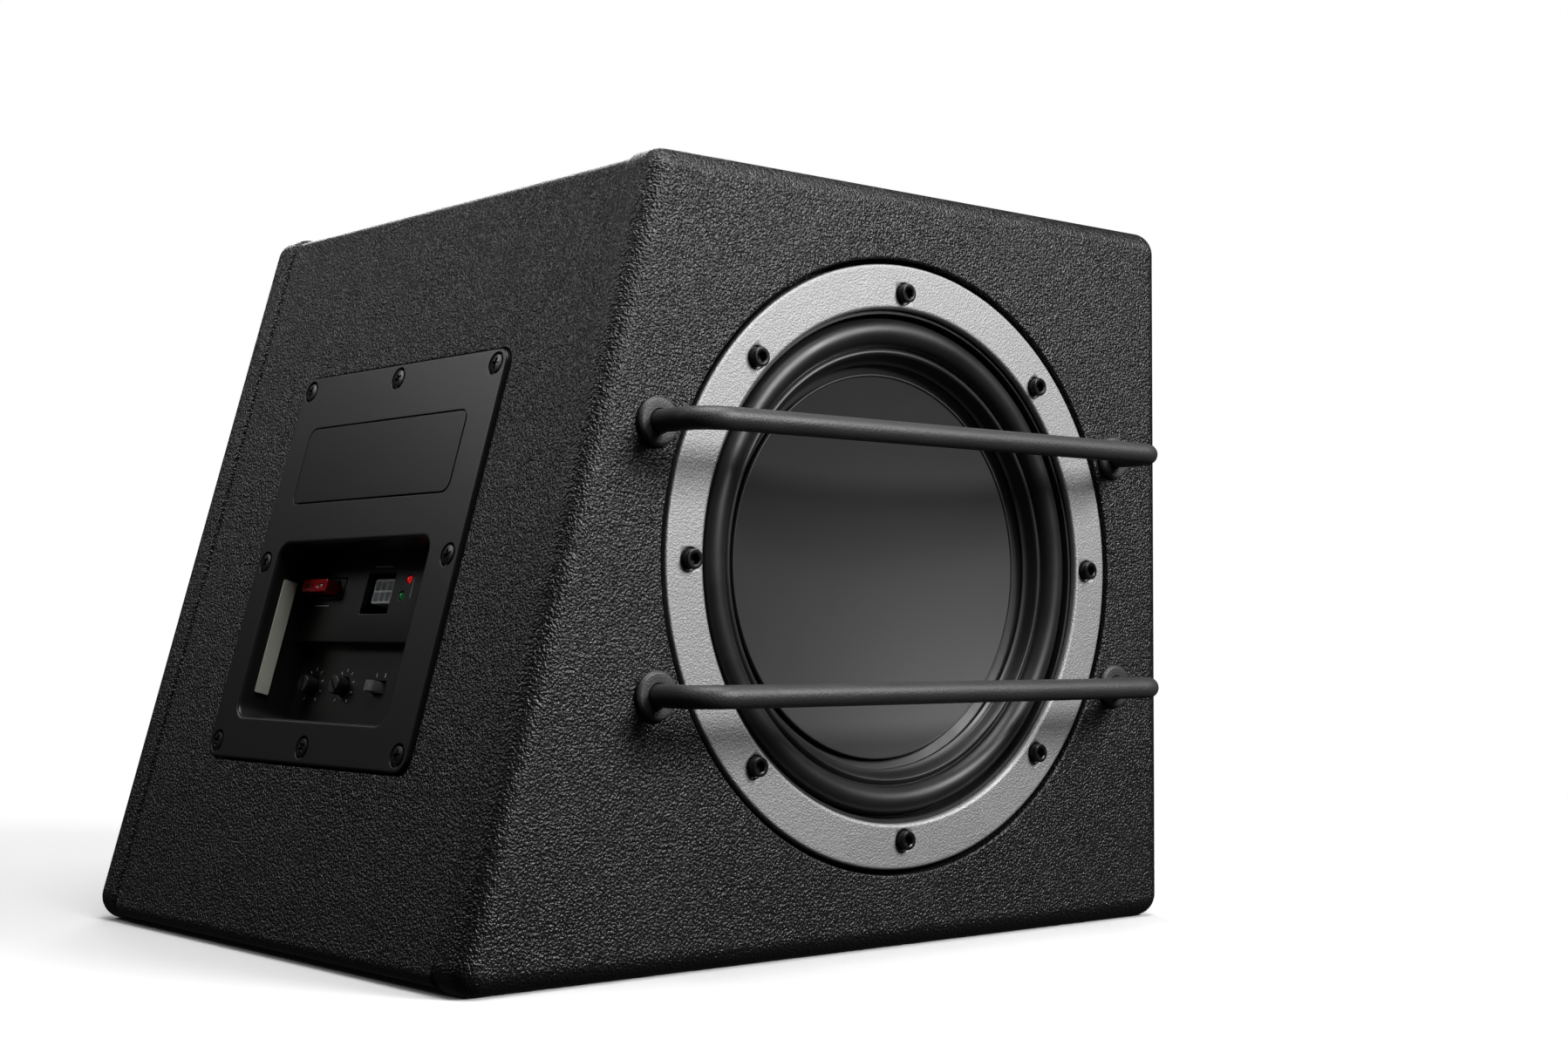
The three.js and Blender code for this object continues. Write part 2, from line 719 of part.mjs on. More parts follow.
function makeFuse() {
  const { x, y, width, thickness, height, top, slot, waist, core, blade, link } = FUSE;
  const bottom = top - height;
  const slots = [-slot.offset, slot.offset].map((dx) =>
    block(x + dx, y, slot.width, slot.height, top - slot.depth, top + REACH));
  const sides = [-width / 2, width / 2].map((dx) =>
    block(x + dx, y, waist.width, thickness + REACH, bottom - REACH, top - waist.below));
  const hollow = block(x, y, core.width, core.height, bottom - REACH, bottom + core.rise);
  const body = slab(rectangle(x, y, width, thickness, 1), bottom, top, 2)
    .subtract(union([...slots, ...sides, hollow]));
  const blades = [-blade.offset, blade.offset].map((dx) =>
    block(x + dx, y, blade.width, blade.height, bottom - blade.reach, bottom + blade.reach));
  const strip = block(x, y, link.width, blade.height, bottom + link.low, bottom + link.high);
  return [body, union([...blades, strip])];
}

function makeFuseHolder() {
  const { x, y, width, thickness, blade, opening, holder } = FUSE;
  const low = BOARD.face + GAP;
  const bottom = FUSE.top - FUSE.height;
  const outline = rectangle(x + opening.shift, y, holder.width, holder.height, holder.radius);
  const shell = slab(outline, low, -RECESS.upperDepth, 2);
  const well = block(x, y, width + 2 * HOLDER_ROOM, thickness + 2 * HOLDER_ROOM, bottom - 2 * GAP, 0);
  const clips = [-blade.offset, blade.offset].map((dx) =>
    block(x + dx, y, holder.clipWidth, holder.clipHeight, bottom - holder.clipDepth, 0));
  return shell.subtract(union([well, ...clips]));
}

function makeHeader() {
  const { x, y, width, height, face, pitch, cell, cellDepth } = HEADER;
  const shell = slab(rectangle(x, y, width, height, 0.8), BOARD.face + GAP, face, 2);
  const cells = [-1, 0, 1].flatMap((column) => [-0.5, 0.5].map((row) =>
    block(x + column * pitch, y + row * pitch, cell, cell, face - cellDepth, face + REACH)));
  return shell.subtract(union(cells));
}

// A slotted control shaft, drawn with its slot along y and then turned about its own axis.
function makeKnob(x, slotTurn) {
  const end = KNOBS.length - RECESS.lowerDepth;
  const shaft = rod(0, 0, KNOBS.radius, -RECESS.lowerDepth - KNOBS.inside, end, 16);
  const slot = block(0, 0, KNOBS.slotWidth, KNOBS.radius * 2 + REACH, end - KNOBS.slotDepth, end + REACH);
  return shaft.subtract(slot).rotate([0, 0, slotTurn]).translate([x, KNOBS.y, 0]);
}

function makePot(x) {
  const top = -RECESS.lowerDepth - KNOBS.inside - GAP;
  return block(x, KNOBS.y, KNOBS.potSide, KNOBS.potSide, BOARD.face + GAP, top);
}

function makeSwitch() {
  const { x, y, holeWidth, leverWidth, leverHeight, leverInside, room } = SWITCH;
  const leverX = x - (holeWidth - leverWidth) / 2 + GAP;
  const seat = -RECESS.lowerDepth - RECESS.wall - GAP;
  const low = seat - leverInside;
  const lever = block(leverX, y, leverWidth, leverHeight, low, SWITCH.leverTop);
  const cut = block(x, y, holeWidth + 4 * room, leverHeight + 2 * room, low - room, 0);
  const body = block(x, y, SWITCH.bodyWidth, SWITCH.bodyHeight, BOARD.face + GAP, seat).subtract(cut);
  return [body, lever];
}

function makeFloorScrew() {
  const floor = -RECESS.lowerDepth;
  const { x, y, radius, height, shankRadius } = FLOOR_SCREW;
  const shank = rod(x, y, shankRadius, BOARD.face + GAP, floor + REACH, 8);
  return rod(x, y, radius, floor + GAP, floor + height).add(shank);
}

function makeSink() {
  const high = BOARD.face - BOARD.thickness - SINK.behind;
  const low = high - SINK.base;
  const pitch = (BOARD.width - SINK.finThickness) / (SINK.fins - 1);
  const first = BOARD.x - BOARD.width / 2 + SINK.finThickness / 2;
  const fins = Array.from({ length: SINK.fins }, (_, i) =>
    block(first + pitch * i, BOARD.y, SINK.finThickness, BOARD.height, low - SINK.finHeight, low + REACH));
  return union([block(BOARD.x, BOARD.y, BOARD.width, BOARD.height, low, high), ...fins]);
}

function makeAmplifier() {
  const amplifier = new THREE.Group();
  sideMatrix().decompose(amplifier.position, amplifier.quaternion, amplifier.scale);

  const flangeBack = PLATE.top - PLATE.thickness;
  const gasket = slab(plateOutline(-PLATE.gasketMargin), -PLATE.rebate + GAP, flangeBack - GAP)
    .subtract(slab(plateOutline(-PLATE.cutMargin), -PLATE.rebate - REACH, REACH));
  const badgeLow = PLATE.top - BADGE.pocket + GAP;
  const badge = slab(badgeOutline(0), badgeLow, badgeLow + BADGE.thickness);
  const labelX = RECESS.left + GAP;
  const label = block(labelX + LABEL.thickness / 2, (LABEL.low + LABEL.high) / 2,
    LABEL.thickness, LABEL.high - LABEL.low, LABEL.deep, LABEL.shallow);
  const [fuseBody, fuseBlades] = makeFuse();
  const [switchBody, lever] = makeSwitch();
  const lamp = ([x, y]) => rod(x, y, LAMPS.radius, BOARD.face + GAP, -RECESS.upperDepth + 0.6, 10);
  const back = BOARD.face - BOARD.thickness;
  const circuit = block(BOARD.x, BOARD.y, BOARD.width, BOARD.height, back, BOARD.face);

  amplifier.add(
    named('amp_plate', makePlate(), moulding()),
    named('amp_gasket', gasket, rubber()),
    named('badge', badge, moulding()),
    named('rating_label', label, paint(0xafafa0, 0.6, 0)),
    named('fuse_body', fuseBody, paint(0xb0141c, 0.2, 0)),
    named('fuse_blades', fuseBlades, zinc()),
    named('fuse_holder', makeFuseHolder(), moulding()),
    named('power_header', makeHeader(), paint(0xd9dde0, 0.4, 0)),
    named('protect_lamp', lamp(LAMPS.red), paint(0xd01818, 0.2, 0)),
    named('power_lamp', lamp(LAMPS.green), paint(0x18b048, 0.2, 0)),
    named('gain_knob', makeKnob(KNOBS.gainX, 0), moulding()),
    named('bass_knob', makeKnob(KNOBS.bassX, 45), moulding()),
    named('gain_pot', makePot(KNOBS.gainX), paint(0x2a4a8a, 0.5, 0)),
    named('bass_pot', makePot(KNOBS.bassX), paint(0x2a4a8a, 0.5, 0)),
    named('phase_switch', switchBody, zinc()),
    named('phase_slider', lever, paint(0x8e9092, 0.5, 0)),
    named('floor_screw', makeFloorScrew(), blackSteel()),
    named('amp_board', circuit, paint(0x1d5a34, 0.5, 0)),
    named('heat_sink', makeSink(), zinc()),
  );
  plateScrewPlaces().forEach((place, i) => {
    amplifier.add(named(`amp_screw_${i + 1}`, makePlateScrew(place), blackSteel()));
  });
  return amplifier;
}

// ---------------------------------------------------------------- the whole object

const group = new THREE.Group();
group.add(makeCabinet(), makeDriver(), makeGuardBars(), makeAmplifier());

export default group;
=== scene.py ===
"""Finished look of a powered car subwoofer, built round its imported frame.

Sizes in the classes are millimetres. A Place turns local millimetres into world metres. The driver faces
-Y, the amplifier sits in the slanted side that faces -X, and the floor is z = 0.
"""

import json
import logging
import math
from dataclasses import dataclass, field
from enum import Enum

import bmesh
import bpy
import numpy as np
from mathutils import Matrix, Vector
from mathutils.geometry import tessellate_polygon


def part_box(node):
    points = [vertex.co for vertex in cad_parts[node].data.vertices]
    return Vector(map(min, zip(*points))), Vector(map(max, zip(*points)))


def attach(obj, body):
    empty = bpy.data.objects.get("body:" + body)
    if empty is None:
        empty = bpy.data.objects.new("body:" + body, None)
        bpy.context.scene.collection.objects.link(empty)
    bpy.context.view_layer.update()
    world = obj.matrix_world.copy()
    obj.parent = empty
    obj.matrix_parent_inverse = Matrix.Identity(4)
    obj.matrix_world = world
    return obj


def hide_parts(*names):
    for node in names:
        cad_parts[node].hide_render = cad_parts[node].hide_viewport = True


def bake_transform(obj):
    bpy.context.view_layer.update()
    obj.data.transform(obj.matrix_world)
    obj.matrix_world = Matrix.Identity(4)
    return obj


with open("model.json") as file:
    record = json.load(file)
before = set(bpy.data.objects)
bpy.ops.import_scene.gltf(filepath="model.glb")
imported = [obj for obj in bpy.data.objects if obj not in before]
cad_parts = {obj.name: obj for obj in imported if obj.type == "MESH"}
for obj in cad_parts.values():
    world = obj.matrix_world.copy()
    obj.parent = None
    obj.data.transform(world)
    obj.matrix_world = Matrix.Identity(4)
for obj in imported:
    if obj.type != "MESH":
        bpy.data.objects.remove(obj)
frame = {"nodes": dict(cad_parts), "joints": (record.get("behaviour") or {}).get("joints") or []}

MM = 0.001
MERGE_DISTANCE = 1e-6
LOG = logging.getLogger("subwoofer")
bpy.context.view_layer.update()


# ---------------------------------------------------------------- places and sizes read from the frame


def low_mm(node: str) -> np.ndarray:
    """Lowest corner of a node, in millimetres."""
    return np.array(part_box(node)[0]) / MM


def high_mm(node: str) -> np.ndarray:
    """Highest corner of a node, in millimetres."""
    return np.array(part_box(node)[1]) / MM


def joint(name: str) -> dict:
    """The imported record's entry for one joint."""
    return next(entry for entry in frame["joints"] if entry["name"] == name)


@dataclass(frozen=True)
class Place:
    """A local frame: an origin in metres and three unit axes as rows."""

    origin: np.ndarray
    axes: np.ndarray

    def world(self, points: np.ndarray) -> np.ndarray:
        """World metres of local millimetres: origin + x, y and z times the three axes."""
        return self.origin + (points @ self.axes) * MM

    def moved(self, x: float, y: float, z: float, turn: float = 0.0) -> "Place":
        """A frame moved by local millimetres and then turned about its own z.

        Args:
            x: shift along the first axis.
            y: shift along the second axis.
            z: shift along the third axis.
            turn: angle about the third axis, in radians.

        Returns:
            The new frame.
        """
        cos, sin = math.cos(turn), math.sin(turn)
        spin = np.array([[cos, sin, 0.0], [-sin, cos, 0.0], [0.0, 0.0, 1.0]])
        return Place(self.world(np.array([x, y, z])), spin @ self.axes)

    def reordered(self, first: int, second: int, third: int) -> "Place":
        """The same origin with the axes taken in another order."""
        return Place(self.origin, self.axes[[first, second, third]])


FRONT = low_mm("front_baffle")[1]
BACK = high_mm("rear_panel")[1]
RIGHT = high_mm("front_baffle")[0]
HEIGHT = high_mm("front_baffle")[2]
OUTWARDS = np.array(joint("fuse_pull")["axis"])
OUTWARDS /= np.linalg.norm(OUTWARDS)
UP_SLOPE = np.array([OUTWARDS[2], 0.0, -OUTWARDS[0]])
LEAN = math.atan2(UP_SLOPE[0], UP_SLOPE[2])
DRIVER_X = (low_mm("trim_ring") + high_mm("trim_ring"))[0] / 2
DRIVER_Z = (low_mm("trim_ring") + high_mm("trim_ring"))[2] / 2

# x and y are the world's X and Z, and the third number is the depth behind the baffle's face.
FRONT_PLACE = Place(np.array([0.0, FRONT * MM, 0.0]), np.array([[1.0, 0, 0], [0, 0, 1.0], [0, 1.0, 0]]))
REAR_PLACE = Place(np.array([0.0, BACK * MM, 0.0]), np.array([[1.0, 0, 0], [0, 0, 1.0], [0, -1.0, 0]]))
DRIVER_PLACE = FRONT_PLACE.moved(DRIVER_X, DRIVER_Z, 0.0)

# On the slanted side x runs towards the baffle, y up the slope from the floor, z straight out.
# The pairs are the x and y of what stands in the recess.
KNOB_ROW = 102.9
LOWER_FLOOR = -20.2
UPPER_FLOOR = -15.5
GAIN_X = FRONT - joint("gain_turn")["pos_m"][1] / MM
BASS_X = FRONT - joint("bass_turn")["pos_m"][1] / MM
SIDE_AXES = np.array([[0.0, -1.0, 0.0], UP_SLOPE, OUTWARDS])
SIDE_PLACE = Place(np.array(joint("gain_turn")["pos_m"]), SIDE_AXES).moved(-GAIN_X, -KNOB_ROW, -LOWER_FLOOR)
BOARD_FACE = -33.7
FUSE_AT = (-176.5, 140.3)
HOLDER_AT = (-175.5, 140.3)
HEADER_AT = (-137.4, 139.6)
PROTECT_LAMP_AT = (-117.5, 143.4)
POWER_LAMP_AT = (-120.2, 137.1)
SWITCH_AT = (-128.0, 103.3)
FLOOR_SCREW_AT = (-113.2, 104.7)


# ---------------------------------------------------------------- outlines and profiles


def arc(x: float, y: float, radius: float, start: float, end: float, steps: int = 8) -> np.ndarray:
    """Points on a circle.

    The point at angle a is (x + radius cos a, y + radius sin a).

    Args:
        x: centre, first number.
        y: centre, second number.
        radius: radius of the arc.
        start: first angle in degrees.
        end: last angle in degrees.
        steps: number of chords.

    Returns:
        An array of steps + 1 points.
    """
    angle = np.radians(np.linspace(start, end, steps + 1))
    return np.stack([x + radius * np.cos(angle), y + radius * np.sin(angle)], 1)


def path(*parts: object) -> np.ndarray:
    """One line of points from single points and arrays of points, in order."""
    return np.concatenate([np.atleast_2d(np.asarray(part, float)) for part in parts])


def spline(keys: np.ndarray, per_span: int = 6) -> np.ndarray:
    """A smooth line through key points.

    Catmull-Rom: between two keys the line is a cubic whose end slopes are half the step between each
    key's neighbours.

    Args:
        keys: the points that the line goes through.
        per_span: chords between two keys.

    Returns:
        The sampled line, keys included.
    """
    padded = np.concatenate([2 * keys[:1] - keys[1:2], keys, 2 * keys[-1:] - keys[-2:-1]])
    before, start, end, after = padded[:-3], padded[1:-2], padded[2:-1], padded[3:]
    t = np.arange(per_span)[None, :, None] / per_span
    a, b, c, d = (k[:, None, :] for k in (before, start, end, after))
    cubic = b + 0.5 * t * (c - a + t * (2 * a - 5 * b + 4 * c - d + t * (3 * (b - c) + d - a)))
    return np.concatenate([cubic.reshape(-1, keys.shape[1]), keys[-1:]])


def softened(corners: np.ndarray, radius: float, steps: int = 4) -> np.ndarray:
    """A closed profile with every corner rounded.

    Each corner becomes a quadratic curve that starts and ends at the stated distance from it along its
    two sides, or at 0.45 of a side that is too short.

    Args:
        corners: the closed profile's corners in order.
        radius: distance from a corner to where its rounding starts.
        steps: chords in each rounding.

    Returns:
        The rounded profile, still closed from its last point to its first.
    """
    before = np.roll(corners, 1, 0) - corners
    after = np.roll(corners, -1, 0) - corners
    reach_before = np.linalg.norm(before, axis=1, keepdims=True)
    reach_after = np.linalg.norm(after, axis=1, keepdims=True)
    start = corners + before * np.minimum(radius / reach_before, 0.45)
    end = corners + after * np.minimum(radius / reach_after, 0.45)
    t = np.linspace(0, 1, steps + 1)[None, :, None]
    curve = (1 - t) ** 2 * start[:, None] + 2 * t * (1 - t) * corners[:, None] + t**2 * end[:, None]
    return curve.reshape(-1, 2)


@dataclass(frozen=True)
class Outline:
    """A closed line with rounded corners: arc centres, outward directions and the arcs' radius."""

    centres: np.ndarray
    outward: np.ndarray
    radius: float

    def at(self, grow: float = 0.0) -> np.ndarray:
        """The line moved outwards by a distance: centre + (radius + grow) times the direction."""
        return self.centres + (self.radius + grow) * self.outward


def rounded(corners: np.ndarray, radius: float, steps: int = 10) -> Outline:
    """The outline of a convex polygon with rounded corners.

    With n0 and n1 the outward directions of the two sides, a corner's arc centre is
    corner - radius (n0 + n1) / (1 + n0 . n1), and the direction turns evenly from n0 to n1.

    Args:
        corners: the corners, counterclockwise.
        radius: radius of the corner arcs.
        steps: chords in each arc.

    Returns:
        The outline.
    """
    side = np.roll(corners, -1, 0) - corners
    side = side / np.linalg.norm(side, axis=1, keepdims=True)
    after = np.stack([side[:, 1], -side[:, 0]], 1)
    before = np.roll(after, 1, 0)
    dot = (before * after).sum(1, keepdims=True)
    centres = corners - radius * (before + after) / (1 + dot)
    first = np.arctan2(before[:, 1], before[:, 0])
    turn = np.arccos(np.clip(dot[:, 0], -1, 1))
    angle = first[:, None] + turn[:, None] * np.linspace(0, 1, steps + 1)
    outward = np.stack([np.cos(angle), np.sin(angle)], -1).reshape(-1, 2)
    return Outline(np.repeat(centres, steps + 1, 0), outward, radius)


def rectangle(x: float, y: float, width: float, height: float, radius: float, steps: int = 8) -> Outline:
    """The outline of a rectangle about a centre, with rounded corners."""
    w, h = width / 2, height / 2
    corners = np.array([[x - w, y - h], [x + w, y - h], [x + w, y + h], [x - w, y + h]])
    return rounded(corners, radius, steps)


def circle(x: float, y: float, radius: float, steps: int = 48) -> Outline:
    """A circle as an outline, all of whose arc centres are its own centre."""
    angle = np.arange(steps) / steps * math.tau
    outward = np.stack([np.cos(angle), np.sin(angle)], 1)
    return Outline(np.tile([x, y], (steps, 1)), outward, radius)


# ---------------------------------------------------------------- surfaces


def cells(rows: int, columns: int, wrap_rows: bool = False, wrap_columns: bool = False) -> np.ndarray:
    """Corner numbers of every four-sided cell of a grid.

    Args:
        rows: points along the first parameter.
        columns: points along the second parameter.
        wrap_rows: whether the last row joins the first.
        wrap_columns: whether the last column joins the first.

    Returns:
        An array of four corner numbers for each cell, indexed by row and column.
    """
    i = np.arange(rows if wrap_rows else rows - 1)
    j = np.arange(columns if wrap_columns else columns - 1)
    a, b = np.meshgrid(i, j, indexing="ij")
    c, d = (a + 1) % rows, (b + 1) % columns
    return np.stack([a * columns + b, c * columns + b, c * columns + d, a * columns + d], -1)


class Shell:
    """A closed surface joined from patches whose shared edge points coincide."""

    def __init__(self, place: Place) -> None:
        """Starts an empty surface in a local frame."""
        self.place = place
        self.points: list[np.ndarray] = []
        self.faces: list[list[int]] = []
        self.count = 0

    def add(self, points: np.ndarray, faces: np.ndarray) -> "Shell":
        """Adds local points and the faces between them, whose numbers start at zero."""
        self.points.append(self.place.world(points.reshape(-1, 3)))
        self.faces.extend((faces.reshape(-1, faces.shape[-1]) + self.count).tolist())
        self.count += points.size // 3
        return self

    def at(self, place: Place) -> "Shell":
        """Goes on in another local frame."""
        self.place = place
        return self

    def grid(self, points: np.ndarray, wrap_rows: bool = False, wrap_columns: bool = False) -> "Shell":
        """Adds a grid of points as a surface."""
        return self.add(points, cells(points.shape[0], points.shape[1], wrap_rows, wrap_columns))

    def face(self, points: np.ndarray) -> "Shell":
        """Adds one flat many-sided face."""
        return self.add(points, np.arange(len(points))[None])

    def flat(self, height: float, outer: np.ndarray, *holes: np.ndarray) -> "Shell":
        """Fills the level region inside one line and outside the others.

        Args:
            height: the level.
            outer: the region's outer line.
            holes: the lines of its holes.

        Returns:
            The shell itself.
        """
        lines = [outer, *holes]
        triangles = tessellate_polygon([[Vector((x, y, 0.0)) for x, y in line] for line in lines])
        flat = np.concatenate(lines)
        level = np.full((len(flat), 1), height)
        return self.add(np.hstack([flat, level]), np.array(triangles))

    def band(self, outline: Outline, profile: np.ndarray) -> "Shell":
        """Carries a profile of (outward distance, height) round an outline.

        The point is centre + (radius + distance) times the outward direction, at the profile's height.
        """
        level = outline.centres[:, None] + (outline.radius + profile[None, :, :1]) * outline.outward[:, None]
        height = np.broadcast_to(profile[None, :, 1:], level.shape[:2] + (1,))
        return self.grid(np.concatenate([level, height], -1), wrap_rows=True)

    def turned(self, profile: np.ndarray, steps: int = 160, closed: bool = True) -> "Shell":
        """Turns a profile of (radius, height) about the local z.

        The point is (radius sin a, radius cos a, height) for each of the evenly spaced angles a.
        """
        angle = np.arange(steps) / steps * math.tau
        radius = profile[None, :, 0]
        height = np.broadcast_to(profile[None, :, 1], (steps, len(profile)))
        points = np.stack([radius * np.sin(angle)[:, None], radius * np.cos(angle)[:, None], height], -1)
        return self.grid(points, wrap_rows=True, wrap_columns=closed)

    def slab(self, outline: Outline, low: float, high: float, rounding: float = 0.3) -> "Shell":
        """A plate between two levels whose edges are rounded on both faces."""
        r = rounding
        edge = path(
            (-2 * r, low), arc(-r, low + r, r, -90, 0, 4), arc(-r, high - r, r, 0, 90, 4), (-2 * r, high)
        )
        self.band(outline, edge)
        return self.flat(low, outline.at(-2 * r)).flat(high, outline.at(-2 * r))

    def perforated(self, front: np.ndarray, back: np.ndarray, keep: np.ndarray) -> "Shell":
        """A wall between two grids that goes round in its rows, with the cells that aren't kept left open.

        Kept cells give a front face and a back face, and a cell edge with nothing kept beyond it gives a
        face from front to back.

        Args:
            front: the front grid of points.
            back: the back grid of points.
            keep: for each cell, whether it is wall.

        Returns:
            The shell itself.
        """
        rows, columns = front.shape[:2]
        corner = cells(rows, columns, wrap_rows=True)
        shift = rows * columns
        faces = [corner[keep], corner[keep][:, ::-1] + shift]
        padded = np.pad(keep, ((0, 0), (1, 1)))
        neighbours = (
            (np.roll(keep, -1, 0), 1, 2),
            (np.roll(keep, 1, 0), 3, 0),
            (padded[:, 2:], 2, 3),
            (padded[:, :-2], 0, 1),
        )
        for beyond, first, second in neighbours:
            edge = corner[keep & ~beyond]
            a, b = edge[:, first], edge[:, second]
            faces.append(np.stack([a, b, b + shift, a + shift], -1))
        return self.add(np.stack([front, back]), np.concatenate(faces))

    def piece(
        self, name: str, body: str, finish: "Finish", *nodes: str, sharp: float = 40.0
    ) -> bpy.types.Object:
        """Makes the surface an object that stands for CAD nodes.

        Args:
            name: name of the piece.
            body: the body that it rides on, or an empty name to leave it free.
            finish: the finish that it wears.
            nodes: the nodes that it stands for.
            sharp: edges that turn by more than this many degrees stay crisp.

        Returns:
            The new object.
        """
        mesh = bpy.data.meshes.new(name)
        mesh.from_pydata(np.concatenate(self.points), [], self.faces)
        work = bmesh.new()
        work.from_mesh(mesh)
        bmesh.ops.remove_doubles(work, verts=work.verts, dist=MERGE_DISTANCE)
        bmesh.ops.recalc_face_normals(work, faces=work.faces)
        work.to_mesh(mesh)
        work.free()
        mesh.shade_smooth()
        mesh.set_sharp_from_angle(angle=math.radians(sharp))
        made = bpy.data.objects.new(name, mesh)
        bpy.context.scene.collection.objects.link(made)
        mesh.materials.append(finish.material())
        if nodes:
            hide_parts(*nodes)
        if body:
            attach(made, body)
        LOG.info("%s: %d faces", name, len(mesh.polygons))
        return made


# ---------------------------------------------------------------- finishes


class Pattern(Enum):
    """How a finish's surface is broken up."""

    PEBBLE = "pebbled coating"
    GRAIN = "fine even grain"
    WEAVE = "woven cloth"
    WOUND = "wire wound side by side"
    TRACES = "printed tracks"


class Graph:
    """The node graph of one material."""

    def __init__(self, name: str) -> None:
        """Makes the material and its Object coordinates."""
        self.material = bpy.data.materials.new(name)
        self.material.use_nodes = True
        self.tree = self.material.node_tree
        self.shader = self.tree.nodes["Principled BSDF"]
        self.place = self.tree.nodes.new("ShaderNodeTexCoord").outputs["Object"]

    def node(self, kind: str, inputs: dict, **settings: object) -> bpy.types.Node:
        """Adds a node, with its settings and with a value or a link on each input."""
        made = self.tree.nodes.new(kind)
        for name, value in settings.items():
            setattr(made, name, value)
        for key, value in inputs.items():
            if isinstance(value, bpy.types.NodeSocket):
                self.tree.links.new(value, made.inputs[key])
            else:
                made.inputs[key].default_value = value
        return made

    def noise(self, size: float, detail: float = 2.0) -> bpy.types.NodeSocket:
        """Cloudy noise whose blobs are the stated millimetres across."""
        inputs = {"Vector": self.place, "Scale": 1 / (size * MM), "Detail": detail}
        return self.node("ShaderNodeTexNoise", inputs).outputs[0]

    def pebbles(self, size: float) -> bpy.types.NodeSocket:
        """Distance from the nearest of many scattered points, the stated millimetres apart."""
        inputs = {"Vector": self.place, "Scale": 1 / (size * MM), "Smoothness": 0.35}
        return self.node("ShaderNodeTexVoronoi", inputs, feature="SMOOTH_F1").outputs["Distance"]

    def maths(self, operation: str, first: object, second: object) -> bpy.types.NodeSocket:
        """One sum on two values."""
        return self.node("ShaderNodeMath", {0: first, 1: second}, operation=operation).outputs[0]

    def scaled(
        self, value: object, low: float, high: float, to_low: float, to_high: float
    ) -> bpy.types.NodeSocket:
        """A value carried from one range to another and held inside it."""
        inputs = {"Value": value, "From Min": low, "From Max": high, "To Min": to_low, "To Max": to_high}
        return self.node("ShaderNodeMapRange", inputs).outputs["Result"]

    def blended(self, share: object, first: object, second: object) -> bpy.types.NodeSocket:
        """A colour between two colours."""
        inputs = {0: share, 6: first, 7: second}
        return self.node("ShaderNodeMix", inputs, data_type="RGBA").outputs[2]

    def bump(self, height: object, depth: float) -> None:
        """Raises the surface by a height of 0 to 1 times the stated millimetres."""
        made = self.node("ShaderNodeBump", {"Height": height, "Distance": depth * MM, "Strength": 1.0})
        self.tree.links.new(made.outputs["Normal"], self.shader.inputs["Normal"])

    def feed(self, socket: str, value: bpy.types.NodeSocket) -> None:
        """Links a value to one of the shader's inputs."""
        self.tree.links.new(value, self.shader.inputs[socket])

    def fix(self, socket: str, value: object) -> None:
        """Sets one of the shader's inputs to a constant."""
        self.shader.inputs[socket].default_value = value


